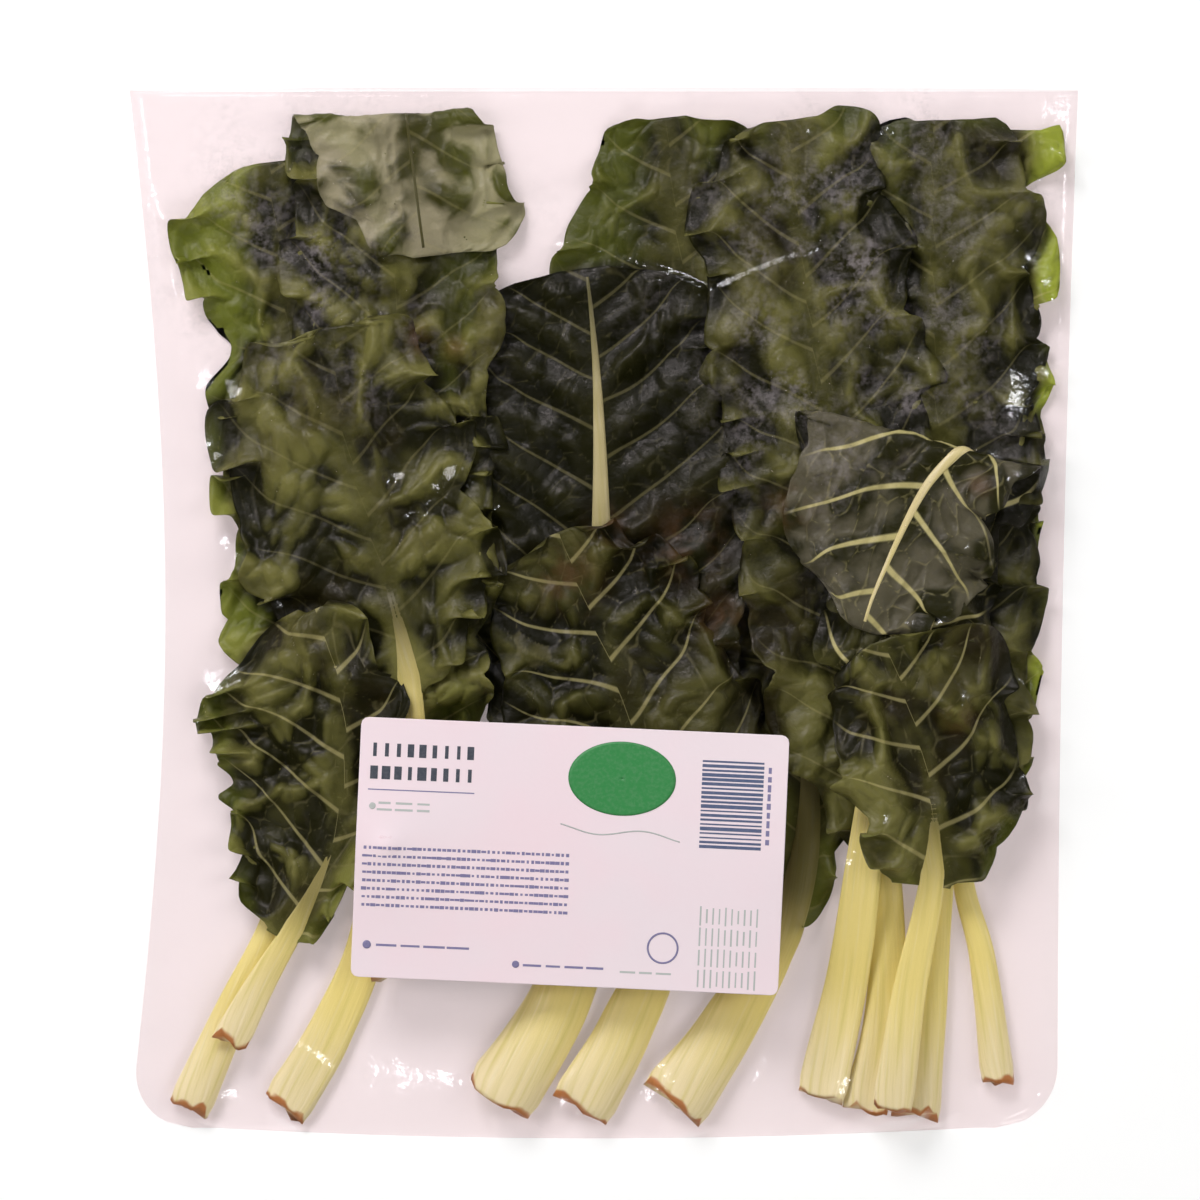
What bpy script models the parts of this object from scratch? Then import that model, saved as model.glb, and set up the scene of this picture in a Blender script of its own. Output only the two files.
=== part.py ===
"""Chard bunch: twelve chard leaves, each a stem and its blade in one piece, packed flat in a clear film bag
that is open at its mouth and has a paper label on top.

Metres, +Z up. The bag lies on its back sheet. The origin is on the surface under it, below the middle of the bag.
+Y runs from the cut stems to the mouth, and the label faces +Z.

The leaves are laid down one at a time. Each is a thin sheet that settles on whatever already lies there, so no two
of them touch, and the front sheet of the bag is then drawn over the whole pile.
"""

import math
from dataclasses import dataclass

import bmesh
import bpy
import numpy as np

MM = 0.001

# The bag, laid flat: a front and a back sheet of film, sealed at the sides and the bottom.
BAG_WIDTH = 320 * MM
BAG_LENGTH = 354 * MM  # down its middle
FILM = 0.4 * MM
CORNER_RADIUS = 21 * MM
BOTTOM_BOW = 4 * MM  # how far the middle of the bottom seal is below its ends
WAIST_LEFT = 12 * MM  # the filled bag draws its sides in by this much
WAIST_RIGHT = 7 * MM
SEAM_LIFT = 3.5 * MM  # the side seals curl up off the table
SEAM_CURL = 9 * MM  # and the curl takes this much of the width
SEAM_STEPS = (0, 3, 7, 13)  # where the sheets' points lie near a seam, in mm from it

# The leaves.
BLADE = 2.4 * MM  # as deep as the blade's puckers
STEM_DEPTH = 0.36  # a stem's thickness as a share of its width
RIB_AT_BLADE = 0.55  # the stem's share of its width left where the blade begins
RIB_AT_TIP = 1.6 * MM
TIP_ROUNDNESS = 3  # as for a leaf's base, below
FOLD_RADIUS = 4.6 * MM
TIP_WIDTH = 3 * MM

# The label.
LABEL_WIDTH = 143 * MM
LABEL_HEIGHT = 87 * MM
LABEL = 0.25 * MM
LABEL_MIDDLE = (-11.5 * MM, -80.5 * MM)
LABEL_TURN = math.radians(-2.5)
LABEL_CORNER = 2.5 * MM

GAP = 0.45 * MM  # between a piece and what it lies on
CELL = 1.25 * MM  # the grid on which the pile's height is kept
LEAF_SINK = 0.5 * MM  # how fast a leaf sags as it settles, and how much it follows its neighbours crosswise
LEAF_BEND = 0.4
STEM_STATIONS = 7
BLADE_STATIONS = 15
# Where the points of a leaf's cross-section lie: as a share of the rib's half width, and of the blade's beyond it.
RIB_SHARES = np.array([-1, -0.8, -0.5, 0, 0.5, 0.8, 1])
BLADE_SHARES = np.array([-1, -0.52, -0.04, 0, 0.04, 0.52, 1])


@dataclass
class Leaf:
    name: str
    route: tuple  # the rib's line in plan, from the cut end to the tip, in mm
    stem: float  # the stem's width at the cut, in mm
    bare: float  # the length of stem below the blade, in mm
    left: float  # the blade's greatest width on each side of the rib, in mm
    right: float
    base: float = 3  # the roundness of the blade's base: 2 is an ellipse, more is squarer and 1 is a wedge
    rib_up: bool = True  # the underside, where the rib stands out, faces up
    crease: tuple = None  # a folded tip: a point on the crease in mm, and the crease's outward normal in degrees


# In the order in which they lie, the lowest first.
LEAVES = (
    Leaf(
        "leaf_centre_right",
        ((23, -165), (41, -140), (58, -110), (68, -79), (68, -42), (54, 5), (37, 66), (27, 116), (21, 168)),
        26, 62, 40, 34, base=1.3,
    ),
    Leaf(
        "leaf_centre_back",
        ((-35, -164), (-15, -130), (-5, -96), (-1, -46), (-1, 29), (-2, 72), (-4, 99), (-6, 117)),
        27, 96, 46, 48,
    ),
    Leaf(
        "leaf_centre_front",
        ((-8, -166), (7, -140), (17, -113), (15, -69), (7, -29), (-5, 2), (-15, 28)),
        23, 92, 37, 40,
    ),
    Leaf(
        "leaf_left_back",
        ((-140, -166), (-125, -133), (-111, -103), (-102, -62), (-98, 5), (-100, 56), (-106, 96), (-113, 153)),
        16, 70, 32, 34,
    ),
    Leaf(
        "leaf_left_tip",
        ((-108, -167), (-92, -140), (-80, -110), (-73, -62), (-71, 5), (-71, 72), (-69, 123), (-67, 170), (-64, 222)),
        18, 100, 34, 34, rib_up=False, crease=(-68, 164, 92),
    ),
    Leaf(
        "leaf_left_middle",
        ((-72, -122), (-67, -89), (-64, -49), (-67, -12), (-77, 25), (-87, 62), (-91, 97)),
        14, 98, 42, 38,
    ),
    Leaf(
        "leaf_left_front",
        ((-126, -143), (-115, -123), (-103, -103), (-92, -79), (-87, -56), (-87, -32), (-92, -10), (-97, 2)),
        13, 40, 45, 17,
    ),
    Leaf(
        "leaf_right_edge",
        ((133, -158), (128, -116), (121, -83), (127, -29), (133, 39), (135, 106), (137, 164)),
        12, 76, 24, 14,
    ),
    Leaf(
        "leaf_right_back",
        ((105, -169), (109, -130), (113, -79), (114, -29), (113, 39), (112, 106), (111, 167)),
        18, 84, 36, 34,
    ),
    Leaf(
        "leaf_right_tall",
        ((88, -167), (95, -130), (95, -79), (89, -29), (79, 39), (69, 106), (62, 167)),
        16, 84, 36, 36,
    ),
    Leaf(
        "leaf_right_folded",
        (
            (73, -163), (82, -123), (88, -79), (95, -39), (108, 2), (118, 28), (123, 50), (118, 78), (122, 113),
            (126, 130),
        ),
        18, 114, 44, 22, rib_up=False, crease=(123, 50, 73.6),
    ),
    Leaf(
        "leaf_right_front",
        ((97, -166), (102, -130), (110, -89), (109, -56), (102, -30), (94, -8)),
        15, 78, 28, 34, rib_up=False,
    ),
)

LEAF_COLOUR = (0.055, 0.085, 0.022)
FILM_COLOUR = (0.93, 0.88, 0.90)
LABEL_COLOUR = (0.86, 0.80, 0.82)


class Pile:
    """How high the pieces laid down so far reach, on a square grid over the bag's plan."""

    def __init__(self):
        self.corner = np.array([-0.6 * BAG_WIDTH, -0.6 * BAG_LENGTH])
        counts = np.ceil(1.2 * np.array([BAG_WIDTH, BAG_LENGTH]) / CELL).astype(int) + 1
        self.top = np.zeros(counts)

    def cells(self, x, y):
        found = [np.rint((v - low) / CELL).astype(int) for v, low in zip((x, y), self.corner)]
        return tuple(np.clip(f, 1, n - 2) for f, n in zip(found, self.top.shape))

    def height(self, x, y):
        """The highest that anything reaches in the cell of each point and the eight around it."""
        i, j = self.cells(x, y)
        around = [self.top[i + a, j + b] for a in (-1, 0, 1) for b in (-1, 0, 1)]
        return np.max(around, axis=0)

    def add(self, side, triangles):
        x, y, z = (side[triangles][..., k] @ SAMPLES.T for k in range(3))
        np.maximum.at(self.top, self.cells(x, y), z)


def lattice(steps):
    """Barycentric weights of evenly spaced points all over a triangle."""
    pairs = [(a, b) for a in range(steps + 1) for b in range(steps + 1 - a)]
    return np.array([(a, b, steps - a - b) for a, b in pairs]) / steps


SAMPLES = lattice(14)


def grid_triangles(rows, columns):
    """Two triangles for each cell of a grid whose points are numbered row by row."""
    r, c = np.meshgrid(np.arange(rows - 1), np.arange(columns - 1), indexing="ij")
    a = (r * columns + c).ravel()
    b, d = a + 1, a + columns
    return np.concatenate([np.stack([a, b, d + 1], 1), np.stack([a, d + 1, d], 1)])


def neighbour_mean(heights, shape, across=1.0):
    """Each height's mean with its neighbours along the grid and, weighted by across, over it."""
    padded = np.pad(heights.reshape(shape), 1, mode="edge")
    along = padded[:-2, 1:-1] + padded[2:, 1:-1]
    over = padded[1:-1, :-2] + padded[1:-1, 2:]
    return ((along + across * over) / (2 + 2 * across)).ravel()


def settle(pile, sides, shape, steps, sink=0.0, across=1.0, held=None):
    """How high each column of a sheet's points has to be raised for the sheet to lie on the pile.

    sides are the sheet's faces, each an array of points. held is (which columns stay put, at what heights), and
    only the triangles that are free at all three corners look for the pile.
    """
    count = shape[0] * shape[1]
    which, where = held if held else (np.zeros(count, bool), np.zeros(count))
    triangles = grid_triangles(*shape)
    triangles = triangles[~which[triangles].any(axis=1)]
    rows = np.arange(len(triangles))
    need = []
    for side in sides:
        x, y, z = (side[triangles][..., k] @ SAMPLES.T for k in range(3))
        need.append(pile.height(x, y) + GAP - z)
    need = np.max(need, axis=0)

    def lifted(heights):
        short = need - heights[triangles] @ SAMPLES.T
        worst = short.argmax(axis=1)
        weight = SAMPLES[worst]
        lift = np.maximum(short[rows, worst], 0) / (weight**2).sum(axis=1)
        raised_by = np.zeros(count)
        np.maximum.at(raised_by, triangles, lift[:, None] * weight)
        return heights + raised_by, lift.max()

    heights = np.full(count, need.max())
    for _ in range(steps):
        heights = np.where(which, where, neighbour_mean(heights, shape, across) - sink)
        heights, _ = lifted(heights)
    for _ in range(400):
        heights, worst = lifted(heights)
        if worst < 0.01 * MM:
            break
    return np.where(which, where, heights)


def raised(side, heights):
    moved = side.copy()
    moved[:, 2] += heights
    return moved


def smooth_route(points, at):
    """Points on a smooth curve through the given ones, at these shares of its length."""
    points = np.array(points, float) * MM
    ends = [2 * points[0] - points[1]], [2 * points[-1] - points[-2]]
    p = np.concatenate([ends[0], points, ends[1]])
    t = np.linspace(0, 1, 24, endpoint=False)[:, None]
    curve = [
        0.5 * (2 * b + (c - a) * t + (2 * a - 5 * b + 4 * c - d) * t**2 + (3 * b - a - 3 * c + d) * t**3)
        for a, b, c, d in zip(p, p[1:], p[2:], p[3:])
    ]
    curve = np.concatenate([*curve, points[-1:]])
    length = np.concatenate([[0], np.cumsum(np.linalg.norm(np.diff(curve, axis=0), axis=1))])
    return np.stack([np.interp(at * length[-1], length, curve[:, k]) for k in (0, 1)], 1), length[-1]


def roll_over(side, crease):
    """A flat sheet's points, with all that lies past the crease rolled up and back over the rest."""
    x, y, turn = crease
    normal = np.array([math.cos(math.radians(turn)), math.sin(math.radians(turn))])
    past = (side[:, :2] - np.array([x, y]) * MM) @ normal
    angle = np.clip(past / FOLD_RADIUS, 0, math.pi)
    reach = FOLD_RADIUS - side[:, 2]
    beyond = np.maximum(past - math.pi * FOLD_RADIUS, 0)
    placed = np.where(past > 0, reach * np.sin(angle) - beyond, past)
    rolled = side.copy()
    rolled[:, :2] += (placed - past)[:, None] * normal
    rolled[:, 2] = np.where(past > 0, FOLD_RADIUS - reach * np.cos(angle), side[:, 2])
    return rolled, past > math.pi * FOLD_RADIUS


def flat_leaf(leaf):
    """The lower and the upper face of a leaf spread out flat, and the grid's shape."""
    _, length = smooth_route(leaf.route, np.array([1.0]))
    bare = leaf.bare * MM / length
    even = np.linspace(0, 1, BLADE_STATIONS)
    closer_at_ends = 0.4 * even + 0.6 * (0.5 - 0.5 * np.cos(math.pi * even))
    at = np.concatenate([np.linspace(0, bare, STEM_STATIONS, endpoint=False), bare + (1 - bare) * closer_at_ends])
    line, _ = smooth_route(leaf.route, at)
    along = np.gradient(line, axis=0)
    along /= np.linalg.norm(along, axis=1)[:, None]
    side = np.stack([along[:, 1], -along[:, 0]], 1)
    up_blade = np.clip((at - bare) / (1 - bare), 0, 1)
    stem = leaf.stem * MM / 2
    taper = 1 - (1 - RIB_AT_BLADE) * np.minimum(at / bare, 1)
    rib = np.where(at < bare, stem * taper, RIB_AT_TIP + (stem * RIB_AT_BLADE - RIB_AT_TIP) * (1 - up_blade) ** 1.3)
    roundness = np.where(up_blade < 0.5, leaf.base, TIP_ROUNDNESS)
    swell = np.maximum(1 - np.abs(2 * up_blade - 1) ** roundness, 0) ** (1 / roundness)
    widths = np.where(RIB_SHARES < 0, leaf.left, leaf.right) * MM
    blade = np.maximum(swell[:, None] * widths, TIP_WIDTH * (up_blade > 0.5)[:, None])
    offset = rib[:, None] * RIB_SHARES + blade * BLADE_SHARES
    from_rib = np.minimum(np.abs(offset) / rib[:, None], 1)
    stands = 2 * rib[:, None] * STEM_DEPTH * np.sqrt(1 - from_rib**2)
    plan = line[:, None, :] + offset[..., None] * side[:, None, :]
    low = np.zeros_like(offset) if leaf.rib_up else -stands
    high = BLADE + (stands if leaf.rib_up else 0 * stands)
    faces = [np.dstack([plan, z]).reshape(-1, 3) for z in (low, high)]
    return faces, offset.shape


def make_material(name, colour, roughness, clear):
    material = bpy.data.materials.new(name)
    material.use_nodes = True
    shader = material.node_tree.nodes["Principled BSDF"]
    shader.inputs["Base Color"].default_value = (*colour, 1)
    shader.inputs["Roughness"].default_value = roughness
    shader.inputs["Transmission Weight"].default_value = clear
    return material


def sheet_solid(name, lower, upper, shape, colour, roughness, clear=0.0):
    """A closed solid between two faces whose points pair up."""
    rows, columns = shape
    count = rows * columns
    triangles = grid_triangles(rows, columns)
    border = np.concatenate(
        [
            np.arange(columns - 1),
            np.arange(columns - 1, count - 1, columns),
            np.arange(count - 1, count - columns, -1),
            np.arange(count - columns, 0, -columns),
        ]
    )
    mesh = bmesh.new()
    verts = [mesh.verts.new(p) for p in np.concatenate([lower, upper])]
    for a, b, c in triangles:
        mesh.faces.new((verts[a], verts[b], verts[c]))
        mesh.faces.new((verts[c + count], verts[b + count], verts[a + count]))
    for a, b in zip(border, np.roll(border, -1)):
        mesh.faces.new((verts[b], verts[a], verts[a + count]))
        mesh.faces.new((verts[b], verts[a + count], verts[b + count]))
    bmesh.ops.recalc_face_normals(mesh, faces=mesh.faces)
    data = bpy.data.meshes.new(name)
    mesh.to_mesh(data)
    mesh.free()
    data.materials.append(make_material(name, colour, roughness, clear))
    data.shade_smooth()
    data.set_sharp_from_angle(angle=math.radians(35))
    bpy.context.scene.collection.objects.link(bpy.data.objects.new(name, data))


def lay_leaf(pile, leaf):
    """Settles one leaf on the pile, its folded tip after the rest of it, and adds it to the pile."""
    faces, shape = flat_leaf(leaf)
    triangles = grid_triangles(*shape)
    tip = np.zeros(shape[0] * shape[1], bool)
    if leaf.crease:
        rolled = [roll_over(face, leaf.crease) for face in faces]
        faces, tip = [face for face, _ in rolled], rolled[0][1]
    heights = settle(pile, faces, shape, 60, sink=LEAF_SINK, across=LEAF_BEND)
    if tip.any():
        below = Pile()
        below.top = pile.top.copy()
        flat = triangles[faces[0][triangles][..., 2].max(axis=1) < FOLD_RADIUS / 2]
        for face in faces:
            below.add(raised(face, heights), flat)
        heights = settle(below, faces, shape, 60, sink=LEAF_SINK, across=LEAF_BEND, held=(~tip, heights))
    lower, upper = (raised(face, heights) for face in faces)
    for face in (lower, upper):
        pile.add(face, triangles)
    sheet_solid(leaf.name, lower, upper, shape, LEAF_COLOUR, 0.5)


def seam_shares(size, count):
    """Shares of a size from edge to edge: SEAM_STEPS at each edge and even steps between them."""
    near = np.array(SEAM_STEPS) * MM / size
    return np.concatenate([near[:-1], np.linspace(near[-1], 1 - near[-1], count), 1 - near[-2::-1]])


def bag_plan():
    """The plan of one sheet of the bag, as a grid from the bottom seal up to the mouth."""
    u = 2 * seam_shares(BAG_WIDTH, 17) - 1
    t = seam_shares(BAG_LENGTH, 21)
    rise = t * BAG_LENGTH
    round_off = CORNER_RADIUS - np.sqrt(CORNER_RADIUS**2 - np.maximum(CORNER_RADIUS - rise, 0) ** 2)
    left = -BAG_WIDTH / 2 + WAIST_LEFT * np.sin(math.pi * t) + round_off
    right = BAG_WIDTH / 2 - WAIST_RIGHT * (1 - t**2) - round_off
    x = (left + right)[:, None] / 2 + (right - left)[:, None] / 2 * u
    y = rise[:, None] - BAG_LENGTH / 2 + BOTTOM_BOW * (1 - t)[:, None] * u**2
    edge = np.minimum(x - left[:, None], right[:, None] - x)
    return x, y, edge


def lay_back_sheet(pile):
    """The sheet under the leaves, its side seams curled up off the table."""
    x, y, edge = bag_plan()
    curl = SEAM_LIFT * np.clip(1 - edge / SEAM_CURL, 0, 1) ** 2
    lower = np.dstack([x, y, curl]).reshape(-1, 3)
    upper = lower + [0, 0, FILM]
    sheet_solid("bag_back_sheet", lower, upper, x.shape, FILM_COLOUR, 0.15, clear=0.8)
    pile.add(upper, grid_triangles(*x.shape))


def lay_front_sheet(pile):
    """The sheet over the leaves: it meets the back sheet at the sides and the bottom, and is free at the mouth."""
    x, y, edge = bag_plan()
    sealed = np.zeros(x.shape, bool)
    sealed[0] = sealed[:, 0] = sealed[:, -1] = True
    seam = SEAM_LIFT * np.clip(1 - edge / SEAM_CURL, 0, 1) ** 2 + FILM + GAP
    flat = np.dstack([x, y, np.zeros_like(x)]).reshape(-1, 3)
    heights = settle(pile, [flat], x.shape, 500, held=(sealed.ravel(), seam.ravel()))
    lower = raised(flat, heights)
    upper = lower + [0, 0, FILM]
    sheet_solid("bag_front_sheet", lower, upper, x.shape, FILM_COLOUR, 0.15, clear=0.8)
    pile.add(upper, grid_triangles(*x.shape))


def lay_label(pile):
    """A round-cornered sheet of paper stuck on the front of the bag."""
    edge = 1 - np.cos(np.radians([0, 40, 90]))
    across, up = (
        np.concatenate([edge * LABEL_CORNER, np.linspace(LABEL_CORNER, size - LABEL_CORNER, count)[1:-1],
                        size - edge[::-1] * LABEL_CORNER]) - size / 2
        for size, count in ((LABEL_WIDTH, 12), (LABEL_HEIGHT, 8))
    )
    v, u = np.meshgrid(up, across, indexing="ij")
    into = np.maximum(LABEL_CORNER - (LABEL_HEIGHT / 2 - np.abs(v)), 0)
    round_off = LABEL_CORNER - np.sqrt(LABEL_CORNER**2 - np.minimum(into, LABEL_CORNER) ** 2)
    u = u * (1 - round_off / (LABEL_WIDTH / 2))
    x = LABEL_MIDDLE[0] + u * math.cos(LABEL_TURN) - v * math.sin(LABEL_TURN)
    y = LABEL_MIDDLE[1] + u * math.sin(LABEL_TURN) + v * math.cos(LABEL_TURN)
    flat = np.dstack([x, y, 0 * x]).reshape(-1, 3)
    heights = settle(pile, [flat], u.shape, 40, sink=0.2 * MM)
    lower = raised(flat, heights)
    sheet_solid("label", lower, lower + [0, 0, LABEL], u.shape, LABEL_COLOUR, 0.45)


def main():
    for obj in list(bpy.data.objects):
        bpy.data.objects.remove(obj)
    pile = Pile()
    lay_back_sheet(pile)
    for leaf in LEAVES:
        lay_leaf(pile, leaf)
    lay_front_sheet(pile)
    lay_label(pile)


main()
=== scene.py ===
"""A bunch of chard packed flat in a clear film bag with a paper label.

Run as a script, it registers the operators below and calls them in order: the stage, the leaves, the bag's back
sheet, its front sheet, the condensation inside it, and the label with its printing. They are also listed in a panel
in the 3D view's sidebar. Every height comes from the frame: a leaf lies where the frame's plain leaf lies.
"""

import math
from dataclasses import dataclass

import bpy
import numpy as np
from bpy.props import FloatProperty, FloatVectorProperty, PointerProperty
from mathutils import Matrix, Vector
from mathutils.bvhtree import BVHTree


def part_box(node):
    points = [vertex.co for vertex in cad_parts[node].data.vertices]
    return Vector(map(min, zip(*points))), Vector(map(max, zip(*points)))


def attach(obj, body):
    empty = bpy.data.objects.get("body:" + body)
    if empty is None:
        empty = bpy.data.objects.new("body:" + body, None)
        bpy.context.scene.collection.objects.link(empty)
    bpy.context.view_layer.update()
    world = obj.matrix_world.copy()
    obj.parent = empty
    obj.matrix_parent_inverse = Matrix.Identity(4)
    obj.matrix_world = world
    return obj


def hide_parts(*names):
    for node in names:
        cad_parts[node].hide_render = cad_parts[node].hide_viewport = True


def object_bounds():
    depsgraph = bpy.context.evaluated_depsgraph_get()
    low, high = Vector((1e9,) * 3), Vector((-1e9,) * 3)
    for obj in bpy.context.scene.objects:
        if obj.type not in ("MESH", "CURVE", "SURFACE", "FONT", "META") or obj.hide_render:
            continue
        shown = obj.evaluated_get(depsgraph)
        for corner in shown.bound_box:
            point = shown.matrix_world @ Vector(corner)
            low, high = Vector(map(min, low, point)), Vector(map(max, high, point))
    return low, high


bl_info = {
    "name": "Bagged Chard",
    "version": (1, 0, 0),
    "blender": (4, 5, 0),
    "location": "3D View > Sidebar > Chard",
    "description": "Chard leaves packed flat in a clear film bag with a paper label",
    "category": "Object",
}

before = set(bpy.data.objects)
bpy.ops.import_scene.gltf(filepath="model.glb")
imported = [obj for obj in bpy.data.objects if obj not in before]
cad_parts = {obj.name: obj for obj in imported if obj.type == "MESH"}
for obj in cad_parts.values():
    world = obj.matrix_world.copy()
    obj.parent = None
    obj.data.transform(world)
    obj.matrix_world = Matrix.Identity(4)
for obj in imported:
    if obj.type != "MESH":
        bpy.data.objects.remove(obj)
CAD_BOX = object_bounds()

MM = 0.001
BODY = "root"

# The bag's plan, as in the frame.
BAG_LOW, BAG_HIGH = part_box("bag_back_sheet")
BAG_WIDTH = BAG_HIGH.x - BAG_LOW.x
BAG_LENGTH = BAG_HIGH.y - BAG_LOW.y
CORNER_RADIUS = 21 * MM
BOTTOM_BOW = 4 * MM
WAIST_LEFT = 12 * MM
WAIST_RIGHT = 7 * MM

# Along the side seams the film curls up and the leaves are pressed back. Both happen within this band.
SEAM_BAND = 9 * MM
SEAM_RISE = 3.5 * MM

# The leaves and the front sheet's seams lie at least this high.
BED_HEIGHT = 0.9 * MM

# How finely each sheet is divided, across and along the bag.
BACK_GRID = (120, 134)
FRONT_GRID = (189, 209)
BEAD_GRID = (96, 106)
CAD_STRIDE = 3
DRAPE_STEPS = 420
LABEL_DRAPE_STEPS = 400

# The blade's own measures.
HALF_BLADE = 0.25 * MM
VEIN_SPACING = 19 * MM
WAVE_LENGTH = 21 * MM

# Room kept on each side of a blade and between two leaves, and the lowest that a leaf may reach.
LEAF_SKIN = 0.3 * MM
LEAF_GAP = 0.25 * MM
LOWEST = 0.4 * MM

# The light that comes evenly from all round.
SKY_GREY = (0.05, 0.05, 0.05)

# A leaf's folded tip rolls over on this radius.
FOLD_RADIUS = 4.6 * MM
FOLD_ROLL = math.pi * FOLD_RADIUS

# A stem's depth on its rounded side and on its hollow side, as shares of its half width.
STEM_ROUND = 0.52
STEM_HOLLOW = 0.16


@dataclass
class Leaf:
    node: str  # the plain leaf that it stands for
    route: tuple  # the rib's line in plan, from the cut end to the tip, in mm
    stem: float  # the stem's width at the cut, in mm
    bare: float  # the length of stem below the blade, in mm
    left: tuple  # the blade's half widths from its base to its tip, closer together at the ends, in mm
    right: tuple
    seed: int
    crease: tuple = None  # a folded tip: a point on the crease in mm, and the crease's outward normal in degrees
    notches: tuple = ()  # bites in the margin: side, distance from the cut end, depth and half width, in mm
    ruffle: float = 1.0
    blister: float = 1.0
    pleat: float = 1.0
    veins: float = 0.5  # how pale the side veins show
    rib: float = 0.6  # how pale the midrib shows
    tone: float = 0.5  # 0 is a dark leaf, 1 a light one
    rib_up: bool = True
    edge: float = 0.15  # painted backlight: how strongly a single layer of it is painted in the backlit green
    dark: float = 0.0  # painted shade: how far its blade and rib are painted darker, for a leaf that lies in shade
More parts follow.
